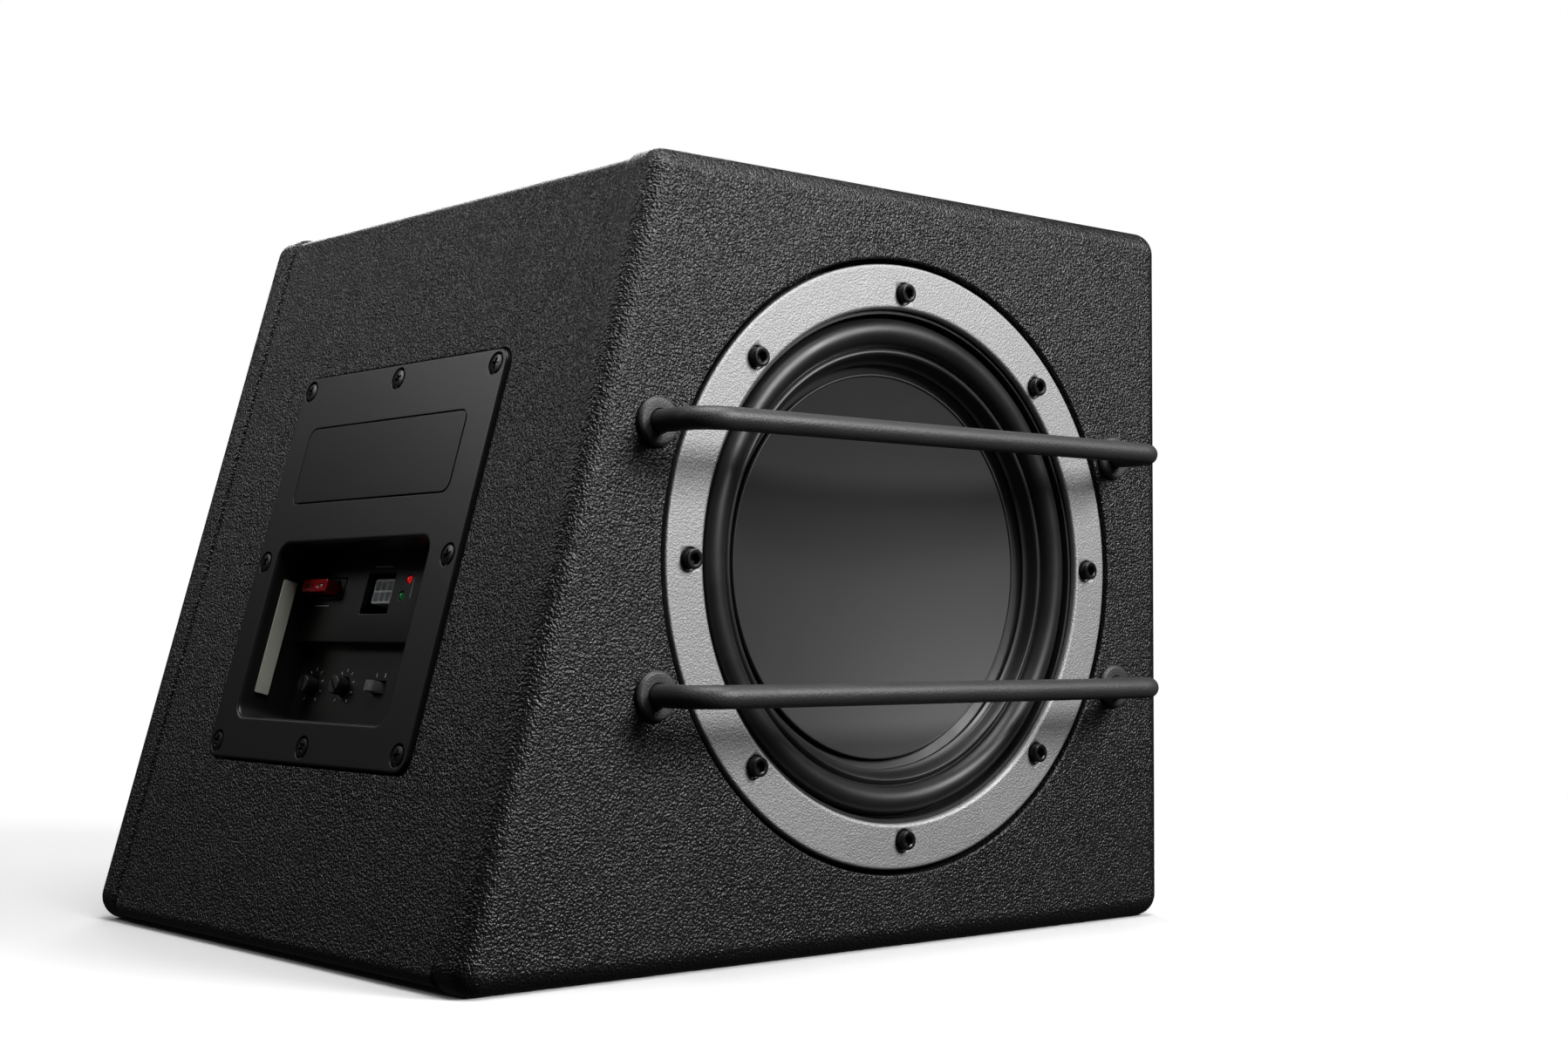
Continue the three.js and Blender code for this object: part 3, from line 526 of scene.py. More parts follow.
@dataclass(frozen=True)
class Finish:
    """One surface finish, with its colour, gloss and grain, and painted shade that darkens the hollows of its
    grain.
    """

    name: str
    colour: tuple[float, float, float]
    roughness: float = 0.5
    metal: float = 0.0
    specular: float = 0.5
    coat: float = 0.0
    glow: float = 0.0
    clear: float = 0.0
    grain: float = 0.5
    depth: float = 0.012
    # random spread of tone, which also sets how much darker the pattern's hollows are painted as painted
    # shade
    mottle_and_hollow_shade: float = 0.15
    mottle_size: float = 14.0
    spread: float = 0.05
    pattern: Pattern = Pattern.GRAIN
    shared_slot: str = ""

    @property
    def slot(self) -> str:
        """The CAD material that it dresses: of its own name unless another is given."""
        return self.shared_slot or self.name

    def rgba(self, factor: float = 1.0) -> tuple[float, float, float, float]:
        """The colour made lighter or darker by a factor."""
        return (*(min(part * factor, 1.0) for part in self.colour), 1.0)

    def material(self) -> bpy.types.Material:
        """The Blender material, made once and then shared."""
        title = f"{self.name}_look"
        known = bpy.data.materials.get(title)
        if known:
            return known
        graph = Graph(title)
        graph.fix("Metallic", self.metal)
        graph.fix("Specular IOR Level", self.specular)
        graph.fix("Coat Weight", self.coat)
        graph.fix("Coat Roughness", 0.08)
        graph.fix("Transmission Weight", self.clear)
        if self.glow:
            graph.fix("Emission Color", self.rgba())
            graph.fix("Emission Strength", self.glow)
        cloud = graph.noise(self.mottle_size, 4.0)
        rough = graph.scaled(cloud, 0.3, 0.7, self.roughness - self.spread, self.roughness + self.spread)
        graph.feed("Roughness", rough)
        height = self.height(graph)
        tint = graph.blended(cloud, self.rgba(1 - self.mottle_and_hollow_shade), self.rgba(1 + self.mottle_and_hollow_shade))
        # painted shade: the base colour is darkened in the pattern's hollows, by up to this share, as if
        # shade fell there
        hollow_painted_shade = graph.scaled(height, 0.0, 1.0, 1 - self.mottle_and_hollow_shade, 1.0)
        graph.feed("Base Color", graph.blended(hollow_painted_shade, self.rgba(1 - 2 * self.mottle_and_hollow_shade), tint))
        graph.bump(height, self.depth)
        return graph.material

    def height(self, graph: Graph) -> bpy.types.NodeSocket:
        """The relief of the finish's pattern, from 0 in its hollows to 1 on its tops."""
        makers = {
            Pattern.PEBBLE: self.pebble_height,
            Pattern.GRAIN: self.grain_height,
            Pattern.WEAVE: self.weave_height,
            Pattern.WOUND: self.wound_height,
            Pattern.TRACES: self.trace_height,
        }
        return makers[self.pattern](graph)

    def pebble_height(self, graph: Graph) -> bpy.types.NodeSocket:
        """Sprayed lumps with small round pebbles among them.

        The height is 0.65 of a noise at the grain's size and 0.35 of pebbles at 0.8 of it.
        """
        lumps = graph.scaled(graph.noise(self.grain, 1.5), 0.32, 0.68, 0.0, 0.65)
        pebbles = graph.scaled(graph.pebbles(self.grain * 0.8), 0.1, 0.7, 0.35, 0.0)
        return graph.maths("ADD", lumps, pebbles)

    def grain_height(self, graph: Graph) -> bpy.types.NodeSocket:
        """Even noise at the grain's size."""
        return graph.scaled(graph.noise(self.grain, 3.0), 0.25, 0.75, 0.0, 1.0)

    def waves(self, graph: Graph, axis: str, size: float) -> bpy.types.NodeSocket:
        """Straight waves along one axis, the stated millimetres from crest to crest."""
        crests = math.tau / 20 / (size * MM)
        inputs = {"Vector": graph.place, "Scale": crests, "Distortion": 0.0}
        return graph.node("ShaderNodeTexWave", inputs, bands_direction=axis).outputs["Fac"]

    def weave_height(self, graph: Graph) -> bpy.types.NodeSocket:
        """The higher of two sets of threads that cross."""
        return graph.maths("MAXIMUM", self.waves(graph, "X", self.grain), self.waves(graph, "Z", self.grain))

    def wound_height(self, graph: Graph) -> bpy.types.NodeSocket:
        """Round wires that lie side by side along the driver's axis."""
        return self.waves(graph, "Y", self.grain)

    def trace_height(self, graph: Graph) -> bpy.types.NodeSocket:
        """Tracks with square corners."""
        inputs = {"Vector": graph.place, "Scale": 1 / (self.grain * MM)}
        made = graph.node("ShaderNodeTexVoronoi", inputs, distance="MANHATTAN", feature="F1")
        return graph.scaled(made.outputs["Distance"], 0.42, 0.5, 0.0, 1.0)


def grey(level: float) -> tuple[float, float, float]:
    """A neutral colour."""
    return (level, level, level)


COATING = Finish(
    "cabinet_coating", grey(0.008), 0.33, specular=0.5, grain=1.0, depth=0.42, mottle_and_hollow_shade=0.1,
    mottle_size=40.0, spread=0.04, pattern=Pattern.PEBBLE,
)
SILVER = Finish(
    "satin_silver", grey(0.38), 0.6, metal=1.0, grain=0.6, depth=0.12, mottle_and_hollow_shade=0.04, spread=0.02
)
SCREW_BLACK = Finish("black_screw", grey(0.02), 0.3, metal=0.6, grain=0.2, depth=0.004)
POWDER = Finish(
    "powder_black", grey(0.03), 0.5, specular=0.7, grain=0.7, depth=0.08, spread=0.03
)
RUBBER = Finish("surround_rubber", grey(0.012), 0.4, grain=0.3, depth=0.006, mottle_size=20.0)
FOAM = Finish("gasket_foam", grey(0.02), 0.85, grain=0.5, depth=0.12, spread=0.03)
CONE_GREY = Finish(
    "cone_grey", grey(0.022), 0.52, grain=0.3, depth=0.008, mottle_and_hollow_shade=0.03, spread=0.01
)
# painted light: a lighter copy of the cone grey on the same CAD material, standing in for the cone band's
# brighter look under the lights
CONE_PAINTED_LIGHT_BAND = Finish(
    "cone_band_painted_light", grey(0.05), 0.42, grain=0.25, depth=0.008, mottle_and_hollow_shade=0.06, shared_slot="cone_grey"
)
BASKET = Finish("basket_black", grey(0.012), 0.5, grain=0.6, depth=0.03)
SPIDER = Finish(
    "spider_cloth", (0.32, 0.19, 0.06), 0.8, grain=0.7, depth=0.15, pattern=Pattern.WEAVE
)
FORMER = Finish("former_board", (0.3, 0.22, 0.1), 0.5, grain=0.4, depth=0.01)
COPPER = Finish(
    "copper_wire", (0.62, 0.24, 0.09), 0.3, metal=1.0, grain=0.55, depth=0.2, pattern=Pattern.WOUND
)
STEEL = Finish("plated_steel", grey(0.55), 0.3, metal=1.0, grain=0.5, depth=0.006)
FERRITE = Finish("ferrite", grey(0.035), 0.7, grain=0.35, depth=0.03)
TERMINAL = Finish("terminal_board", (0.2, 0.07, 0.025), 0.55, grain=0.4, depth=0.02)
MOULDED = Finish(
    "moulded_black", grey(0.012), 0.36, specular=0.35, grain=0.35, depth=0.01, mottle_and_hollow_shade=0.05, spread=0.01
)
BADGE = Finish(
    "badge_black", grey(0.013), 0.34, specular=0.3, grain=0.25, depth=0.004, mottle_and_hollow_shade=0.03, spread=0.01
)
LABEL = Finish("label_paper", (0.7, 0.7, 0.6), 0.55, grain=0.3, depth=0.006)
FUSE_RED = Finish(
    "fuse_red", (0.7, 0.012, 0.02), 0.14, coat=0.6, clear=0.15, grain=1.0, depth=0.004, mottle_and_hollow_shade=0.1
)
TINNED = Finish("tinned_metal", grey(0.7), 0.28, metal=1.0, grain=0.4, depth=0.004)
HEADER = Finish("header_white", (0.85, 0.9, 0.94), 0.4, grain=0.4, depth=0.01)
LAMP_RED = Finish("lamp_red", (0.8, 0.01, 0.01), 0.12, glow=0.5, coat=0.5, depth=0.002)
LAMP_GREEN = Finish("lamp_green", (0.02, 0.25, 0.05), 0.15, glow=0.15, coat=0.5, depth=0.002)
KNOB = Finish("knob_black", grey(0.012), 0.38, grain=0.3, depth=0.01)
POT = Finish("pot_blue", (0.02, 0.06, 0.25), 0.45, grain=0.4, depth=0.01)
LEVER = Finish("lever_grey", grey(0.27), 0.5, grain=0.3, depth=0.01)
CIRCUIT = Finish(
    "circuit_green", (0.012, 0.11, 0.03), 0.4, grain=3.0, depth=0.03, mottle_and_hollow_shade=0.3,
    pattern=Pattern.TRACES,
)
ALUMINIUM = Finish("sink_aluminium", grey(0.6), 0.42, metal=1.0, grain=0.6, depth=0.01)
PRINT = Finish("pad_print", grey(0.85), 0.6, grain=0.2, depth=0.002, shared_slot="label_paper")


def dress(finish: Finish, *nodes: str) -> None:
    """Gives nodes that stay in view a finish."""
    for name in nodes:
        materials = frame["nodes"][name].data.materials
        materials.clear()
        materials.append(finish.material())


# ---------------------------------------------------------------- cabinet


@dataclass
class Cabinet:
    """Two end boards, and four body boards under one coating."""

    end_board: float = 18.0
    body_board: float = 15.0
    outline_radius: float = 9.0
    outer_rounding: float = 8.0
    inner_rounding: float = 2.0
    inset_left: float = 1.1
    inset_right: float = 2.2
    inset_top: float = 2.2
    inset_bottom: float = 2.2
    body_radius: float = 4.0
    end_round: float = 0.6
    counterbore: float = 113.3
    counterbore_depth: float = 12.0
    hole: float = 94.8
    edge: float = 0.8
    margin: float = 0.6
    bar_hole: float = 4.4
    plate: "AmplifierPlate" = field(default_factory=lambda: AmplifierPlate())

    def slanted_x(self, height: float, inset: float) -> float:
        """World X of the slanted side at a height, the stated distance inside the end boards' edge."""
        setback = self.outline_radius * ((1 + math.sin(LEAN)) / math.cos(LEAN) - 1)
        foot = low_mm("front_baffle")[0] - setback
        return foot + inset / math.cos(LEAN) + height * math.tan(LEAN)

    def end_outline(self) -> Outline:
        """The outline shared by the baffle and the rear panel."""
        corners = [(0.0, 0), (0.0, 1), (HEIGHT, 1), (HEIGHT, 0)]
        points = [(RIGHT if right else self.slanted_x(z, 0.0), z) for z, right in corners]
        return rounded(np.array(points), self.outline_radius, 12)

    def body_outline(self, depth: float = 0.0) -> Outline:
        """The outline of the four body boards, or of the space inside them."""
        low, high = self.inset_bottom + depth, HEIGHT - self.inset_top - depth
        right, left = RIGHT - self.inset_right - depth, self.inset_left + depth
        corners = [
            (self.slanted_x(low, left), low), (right, low), (right, high), (self.slanted_x(high, left), high)
        ]
        return rounded(np.array(corners), self.body_radius, 10)

    def end_edge(self) -> np.ndarray:
        """Profile of an end board's edge: a large round outside, a flat, and a small round inside."""
        big, small = self.outer_rounding, self.inner_rounding
        outside = arc(-big, big, big, -90, 0, 14)
        inside = arc(-small, self.end_board - small, small, 0, 90, 8)
        return path((-big - self.margin, 0), outside, inside, (-small - self.margin, self.end_board))

    def lip(self, depth: float) -> np.ndarray:
        """Profile of a hole's rounded lip that goes straight down to a depth."""
        edge = self.edge
        return path((edge + self.margin, 0), arc(edge, edge, edge, -90, -180, 6), (0, depth))

    def make_baffle(self) -> None:
        """The front board: the edge profile round its outline, and a stepped hole for the driver."""
        outline = self.end_outline()
        hole = circle(DRIVER_X, DRIVER_Z, self.counterbore, 200)
        inner = self.hole - self.counterbore
        bars = [circle(x, z, self.bar_hole, 24) for x, z in GuardBars().legs()]
        shell = Shell(FRONT_PLACE).band(outline, self.end_edge())
        shell.flat(
            0.0, outline.at(-self.outer_rounding - self.margin), hole.at(self.edge + self.margin),
            *(bar.at() for bar in bars),
        )
        step = [(inner, depth) for depth in (self.counterbore_depth, self.end_board)]
        shell.band(hole, path(self.lip(self.counterbore_depth), step))
        for bar in bars:
            shell.band(bar, np.array([(0, 0), (0, self.end_board)]))
        shell.flat(
            self.end_board, outline.at(-self.inner_rounding - self.margin), hole.at(inner),
            *(bar.at() for bar in bars),
        )
        shell.piece("front_baffle_coated", "cabinet", COATING, "front_baffle")

    def make_rear(self) -> None:
        """The rear board: the same edge profile turned round, with plain faces."""
        outline = self.end_outline()
        shell = Shell(REAR_PLACE).band(outline, self.end_edge())
        shell.flat(0.0, outline.at(-self.outer_rounding - self.margin))
        shell.flat(self.end_board, outline.at(-self.inner_rounding - self.margin))
        shell.piece("rear_panel_coated", "cabinet", COATING, "rear_panel")

    def body_section(self) -> np.ndarray:
        """Outer profile of a body board along its depth, with each end rounded over a quarter circle."""
        turn = self.end_round
        near, far = self.end_board, BACK - FRONT - self.end_board
        start = arc(-turn, near + turn, turn, -90, 0, 6)
        end = arc(-turn, far - turn, turn, 0, 90, 6)
        return path(start, (0, near + turn + 1), (0, far - turn - 1), end)

    def make_wrap(self) -> None:
        """Top, bottom and plain side: the body outline without its slanted part, carried along the depth."""
        outer, inner = self.body_outline(), self.body_outline(self.body_board)
        section = self.body_section()
        grow = outer.radius + section[None, :, :1]
        front = outer.centres[:, None] + grow * outer.outward[:, None]
        depths = np.broadcast_to(section[None, :, 1:], front.shape[:2] + (1,))
        outside = np.concatenate([front, depths], -1)
        corner = inner.centres + inner.radius * self.corner_reach(inner)
        ends = np.array([section[-1, 1], section[0, 1]])
        inside = np.stack([np.column_stack([corner, np.full(len(corner), end)]) for end in ends], 1)
        loop = np.concatenate([outside, inside], 1)
        shell = Shell(FRONT_PLACE).grid(loop, wrap_columns=True)
        shell.face(loop[0]).face(loop[-1])
        shell.piece("body_wrap_coated", "cabinet", COATING, "top_panel", "bottom_panel", "plain_side_panel")

    @staticmethod
    def corner_reach(outline: Outline) -> np.ndarray:
        """For each point of an outline, the step from its arc's centre to the sharp corner, in radii.

        With n0 and n1 the first and last directions of the corner's arc, it is (n0 + n1) / (1 + n0 . n1).
        """
        per_corner = len(outline.centres) // 4
        arcs = outline.outward.reshape(4, per_corner, 2)
        first, last = arcs[:, 0], arcs[:, -1]
        reach = (first + last) / (1 + (first * last).sum(1, keepdims=True))
        return np.repeat(reach, per_corner, 0)

    def slope_span(self) -> tuple[np.ndarray, np.ndarray]:
        """Lowest and highest y of the slanted board on its outer face and on its inner face."""
        outer, inner = self.body_outline(), self.body_outline(self.body_board)
        sharp = inner.centres + inner.radius * self.corner_reach(inner)
        origin = SIDE_PLACE.origin / MM
        ends = np.array([outer.at()[0], outer.at()[-1], sharp[0], sharp[-1]]) - origin[[0, 2]]
        y = ends @ UP_SLOPE[[0, 2]]
        return y[:2], y[2:]

    def make_amplifier_side(self) -> None:
        """The slanted board: a flat slab with rounded ends, a rebate and a cut-out for the plate."""
        section = self.body_section()
        outer_y, inner_y = self.slope_span()
        bottom = -self.body_board
        row = np.concatenate([section, [(bottom, section[-1, 1]), (bottom, section[0, 1])]])
        is_outer = np.arange(len(row)) < len(section)
        ends = [np.where(is_outer, outer_y[side], inner_y[side]) for side in (0, 1)]
        loop = np.stack([np.column_stack([-row[:, 1], y, row[:, 0]]) for y in ends])
        corner = cells(2, len(row), wrap_columns=True)[0]
        first = len(arc(0, 0, 1, 0, 1, 6))
        flat_cell, back_cell = first, len(row) - 2
        kept = [i for i in range(len(row)) if i not in (flat_cell, back_cell)]
        shell = Shell(SIDE_PLACE).add(loop, corner[kept])
        shell.face(loop[0]).face(loop[1])
        rebate, cut = self.plate.outline(self.plate.clearance), self.plate.outline(-self.plate.cut_margin)
        face = loop[:, [flat_cell, flat_cell + 1], :2].reshape(4, 2)[[0, 1, 3, 2]]
        back = loop[:, [back_cell, back_cell + 1], :2].reshape(4, 2)[[0, 1, 3, 2]]
        lip = self.lip(self.plate.rebate) * (1, -1)
        shell.flat(0.0, face, rebate.at(self.edge + self.margin)).band(rebate, lip)
        shell.flat(-self.plate.rebate, rebate.at(), cut.at())
        shell.band(cut, np.array([(0, -self.plate.rebate), (0, bottom)]))
        shell.flat(bottom, back, cut.at())
        shell.piece("amp_side_panel_coated", "cabinet", COATING, "amp_side_panel")

    def make(self) -> None:
        """Builds the whole cabinet."""
        self.make_baffle()
        self.make_rear()
        self.make_wrap()
        self.make_amplifier_side()


# ---------------------------------------------------------------- driver


@dataclass
class TrimRing:
    """A satin ring with a rounded inner lip and eight pockets, and the socket screws that stand in them."""

    inner: float = 94.7
    outer: float = 111.3
    face: float = 0.5
    back: float = 2.9
    lip: float = 1.4
    edge: float = 0.9
    screw_circle: float = 100.7
    screws: int = 8
    pocket: tuple = ((0, 1.9), (3.95, 1.9), (4.12, 1.72), (4.18, 0.85), (4.24, 0.6), (4.35, 0.5))
    patch: float = 4.55
    outer_lines: tuple = (6.2, 7.6, 9.0)
    head: float = 3.5
    head_near: float = -2.4
    head_far: float = 1.6
    head_round: float = 0.45
    socket: float = 1.75
    socket_depth: float = 2.2
    socket_mouth: tuple = ((2.35, 0.0), (2.2, 0.04))
    socket_lead: float = 0.3
    drill_tip: float = 0.5
    shank: tuple = ((0, 1.5), (2.0, 1.5), (2.0, 16.4), (1.4, 17.0), (0, 17.0))

    def grid_lines(self) -> np.ndarray:
        """Distances from a screw's axis at which the ring's grid has lines, finest at the pocket's edge."""
        edges = [radius for radius, _ in self.pocket[1:]]
        return np.array([-self.patch, *(-np.array(edges[::-1])), -3, -2, -1, 0, 1, 2, 3, *edges, self.patch])

    def make_ring(self) -> None:
        """The ring as a grid of angle and radius.

        Round each screw the grid's square contours are pulled into circles, by moving each point towards
        the axis until its distance equals its larger coordinate. The depth then follows the pocket's profile.
        """
        lines = self.grid_lines()
        pitch = math.tau / self.screws
        reach = self.patch / self.screw_circle
        between = np.linspace(reach, pitch - reach, 22)[1:-1]
        one = np.concatenate([lines / self.screw_circle, between])
        angle = (np.arange(self.screws)[:, None] * pitch + one).ravel()
        offset = np.tile(np.concatenate([lines, np.full(len(between), np.inf)]), self.screws)
        last = self.outer - self.edge - self.screw_circle
        top = np.array([*lines, *self.outer_lines, last])
        across, along = np.meshgrid(offset, top, indexing="ij")
        reach_square = np.maximum(np.abs(across), np.abs(along))
        is_patch = reach_square < self.patch - 1e-6
        side = np.where(is_patch, across, 1.0)
        rise = np.where(is_patch, along, 0.0)
        pull = np.where(is_patch, reach_square, 1.0) / np.maximum(np.hypot(side, rise), 1e-9)
        radius = self.screw_circle + np.where(is_patch, rise * pull, along)
        swing = angle[:, None] + np.where(is_patch, side * (pull - 1), 0.0) / self.screw_circle
        distances, depths = np.array(self.pocket).T
        sunk = np.interp(np.where(is_patch, reach_square, 0), distances, depths)
        depth = np.where(is_patch, sunk, self.face)
        lip = arc(self.inner + self.lip, self.face + self.lip, self.lip, 180, 270, 7)
        lead = path((self.inner, self.back), lip[:-1])
        edge = arc(self.outer - self.edge, self.face + self.edge, self.edge, 270, 360, 5)
        tail = path(edge[1:], (self.outer, self.back))
        rows = (len(angle), 1)
        whole_radius = np.hstack([np.tile(lead[:, 0], rows), radius, np.tile(tail[:, 0], rows)])
        whole_depth = np.hstack([np.tile(lead[:, 1], rows), depth, np.tile(tail[:, 1], rows)])
        spread = [np.tile(angle[:, None], (1, len(part))) for part in (lead, tail)]
        turn = np.hstack([spread[0], swing, spread[1]])
        points = np.stack([whole_radius * np.sin(turn), whole_radius * np.cos(turn), whole_depth], -1)
        shell = Shell(DRIVER_PLACE).grid(points, wrap_rows=True, wrap_columns=True)
        shell.piece("trim_ring_satin", "cabinet", SILVER, "trim_ring", sharp=50)

    def make_screw(self, number: int) -> None:
        """A socket head as a profile turned about its axis, whose radius turns from round to six-sided.

        In the socket the radius at angle a is the apothem over the cosine of a's distance from the middle
        of its flat.

        Args:
            number: which of the screws, from one.
        """
        turn = (number - 1) / self.screws * math.tau
        x, y = self.screw_circle * math.sin(turn), self.screw_circle * math.cos(turn)
        near, r = self.head_near, self.head_round
        corner = arc(self.head - r, near + r, r, 0, -90, 5)
        mouth = np.array(self.socket_mouth) + (0, near)
        outside = path((0.0, self.head_far), (self.head, self.head_far), corner, mouth)
        floor, wall = near + self.socket_depth, self.socket
        sides = [(wall, near + self.socket_lead), (wall, floor)]
        hexagon = path(sides, (wall * 0.9, floor), (0, floor + self.drill_tip))
        steps = 48
        angle = np.arange(steps) / steps * math.tau
        flat = np.mod(angle, math.tau / 6) - math.tau / 12
        six = 1 / np.cos(flat)
        radius = np.hstack([np.tile(outside[:, 0], (steps, 1)), hexagon[None, :, 0] * six[:, None]])
        depth = np.tile(np.concatenate([outside[:, 1], hexagon[:, 1]]), (steps, 1))
        points = np.stack([radius * np.sin(angle)[:, None], radius * np.cos(angle)[:, None], depth], -1)
        shell = Shell(DRIVER_PLACE.moved(x, y, 0.0, turn)).grid(points, wrap_rows=True)
        shell.turned(np.array(self.shank), 24, closed=False)
        shell.piece(f"ring_screw_{number}_socket", "cabinet", SCREW_BLACK, f"ring_screw_{number}")

    def make(self) -> None:
        """Builds the ring and its screws."""
        self.make_ring()
        for number in range(1, self.screws + 1):
            self.make_screw(number)


@dataclass
class Driver:
    """Basket, surround, cone, dust cap, spider, coil and motor, all turned about one axis."""

    surround_outer: float = 92.4
    roll_radius: float = 86.6
    roll_depth: float = 7.6
    roll: float = 5.4
    rim_depth: float = 8.3
    fold: tuple = (
        (81.15, 7.1), (80.1, 6.3), (79.2, 6.0), (78.3, 6.5), (77.5, 8.3), (76.7, 10.0), (75.2, 10.9)
    )
    wall: float = 1.3
    thinning: tuple = ((76.5, 0), (81, 0.3), (91.5, 0.3), (92.4, 0))
    cone_outer: tuple = (77.2, 11.8)
    cone_inner: tuple = (27.2, 47.5)
    cone_wall: float = 1.4
    cap: float = 71.8
    cap_edge_depth: float = 13.2
    cap_centre_depth: float = 22.2
    cap_wall: float = 1.0
    spider_inner: float = 26.3
    spider_outer: float = 61.6
    spider_depth: float = 50.0
    spider_wall: float = 0.9
    spider_wave: float = 1.9
    spider_folds: int = 4
    basket_inner: tuple = (
        (93.2, 3.2), (93.2, 9.2), (88, 9.2), (88, 11.2), (85.5, 20), (75, 41), (62, 49.5),
        (62, 52.4), (54.5, 59.5), (49.5, 69.5), (36, 69.5),
    )
    basket_outer: tuple = (
        (111, 3.2), (111, 8.3), (94.2, 8.3), (93, 12), (88.5, 21), (78, 44), (72, 50),
        (66, 55), (58, 62), (52, 72), (36, 72),
    )
    windows: int = 6
    window_row: int = 4
    window_share: float = 0.6

    def radial_blend(self, piece: bpy.types.Object, outer: float, inner: float) -> None:
        """Bakes a turned piece's transform into its mesh and reads its points.

        No point is moved, so the piece does not yet stretch between the fixed outer ring and the moving cone.

        Args:
            piece: the turned piece.
            outer: radius held by the basket.
            inner: radius held by the cone or the coil.
        """
        start = DRIVER_PLACE.world(np.array([outer, 0.0, self.roll_depth]))
        end = DRIVER_PLACE.world(np.array([inner, 0.0, self.roll_depth]))
        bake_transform(piece)
        count = len(piece.data.vertices)
        co = np.zeros(count * 3, np.float32)
        piece.data.vertices.foreach_get("co", co)

    def make_surround(self) -> None:
        """Rubber surround: a smooth line through a tall outer roll and a low inner fold, given a wall.

        The wall is thinner between the glued edges, by an amount read off from the radius.
        """
        roll = arc(self.roll_radius, self.roll_depth, self.roll, 0, -158, 9)
        front = spline(path((self.surround_outer, self.rim_depth), roll, self.fold), 5)
        back = front + (0, self.wall)
        radii, less = np.array(self.thinning, float).T
        back[:, 1] -= np.interp(back[:, 0], radii, less)
        shell = Shell(DRIVER_PLACE).turned(np.concatenate([front, back[::-1]]), 200)
        piece = shell.piece("surround_rubber_roll", "", RUBBER, "surround", sharp=60)
        self.radial_blend(piece, self.surround_outer - 1.0, 77.0)

    def make_cone(self) -> None:
        """Cone: a straight-sided wall with rounded edges, in a lighter copy of the cone grey that is painted
        light.
        """
        (r0, d0), (r1, d1) = self.cone_outer, self.cone_inner
        wall = self.cone_wall
        profile = softened(np.array([(r0, d0), (r1, d1), (r1, d1 + wall), (r0, d0 + wall)]), 0.4)
        shell = Shell(DRIVER_PLACE).turned(profile, 200)
        shell.piece("cone_moulded", "cone_assembly", CONE_PAINTED_LIGHT_BAND, "cone")

    def make_cap(self) -> None:
        """Dust cap: a shallow dish, deepest in the middle, with a thin raised lip.

        The depth is the centre's less the whole rise times the square of the radius over the edge's.
        """
        edge = self.cap - 1.1
        radius = edge * np.sin(np.linspace(0, math.pi / 2, 40))
        rise = self.cap_centre_depth - self.cap_edge_depth
        dish = np.stack([radius, self.cap_centre_depth - rise * (radius / edge) ** 2 + 0.25], 1)
        lip = arc(edge + 0.6, self.cap_edge_depth + 0.1, 0.45, 225, 360, 6)
        front = path(dish, (edge + 0.15, self.cap_edge_depth), lip)
        back = path((self.cap - 0.1, self.cap_edge_depth + 0.9), dish[::-1] + (0, self.cap_wall))
        shell = Shell(DRIVER_PLACE).turned(np.concatenate([front, back]), 200, closed=False)
        shell.piece("dust_cap_dish", "cone_assembly", CONE_GREY, "dust_cap", sharp=60)

    def make_spider(self) -> None:
        """Spider: a cloth disc with even corrugations.

        The depth is the middle depth plus a sine of the radius, faded out towards both edges.
        """
        radius = np.linspace(self.spider_inner, self.spider_outer, 90)
        share = (radius - self.spider_inner) / (self.spider_outer - self.spider_inner)
        fade = np.clip(np.minimum(share, 1 - share) * 8, 0, 1)
        wave = self.spider_wave * fade * np.sin(share * math.tau * self.spider_folds)
        front = np.stack([radius, self.spider_depth + wave], 1)
        back = front[::-1] + (0, self.spider_wall)
        shell = Shell(DRIVER_PLACE).turned(np.concatenate([front, back]), 160)
        piece = shell.piece("spider_corrugated", "", SPIDER, "spider", sharp=70)
        self.radial_blend(piece, self.spider_outer - 3.0, self.spider_inner + 3.0)

    def make_basket(self) -> None:
        """Basket: a rim, a conical wall with six windows, and a seat for the magnet.

        The wall lies between an inner and an outer profile turned about the axis, and the cells inside each
        window are left open.
        """
        steps = 192
        angle = np.arange(steps) / steps * math.tau
        sin, cos = np.sin(angle)[:, None], np.cos(angle)[:, None]
        walls = []
        for profile in (self.basket_inner, self.basket_outer):
            radius, depth = np.array(profile, float).T
            level = np.broadcast_to(depth, (steps, len(depth)))
            walls.append(np.stack([radius * sin, radius * cos, level], -1))
        keep = np.ones((steps, len(self.basket_inner) - 1), bool)
        pitch = steps / self.windows
        turn = np.mod(np.arange(steps) + 0.5, pitch) / pitch
        keep[np.abs(turn - 0.5) < self.window_share / 2, self.window_row] = False
        shell = Shell(DRIVER_PLACE).perforated(walls[0], walls[1], keep)
        shell.piece("basket_pressed", "cabinet", BASKET, "basket")

    def make(self) -> None:
        """Builds the driver and dresses its hidden parts."""
        self.make_surround()
        self.make_cone()
        self.make_cap()
        self.make_spider()
        self.make_basket()
        dress(FOAM, "driver_gasket")
        dress(FORMER, "voice_coil_former")
        dress(COPPER, "voice_coil_winding")
        dress(STEEL, "top_plate", "pole_yoke")
        dress(FERRITE, "magnet")
        dress(TERMINAL, "terminal_strip")


# ---------------------------------------------------------------- guard bars


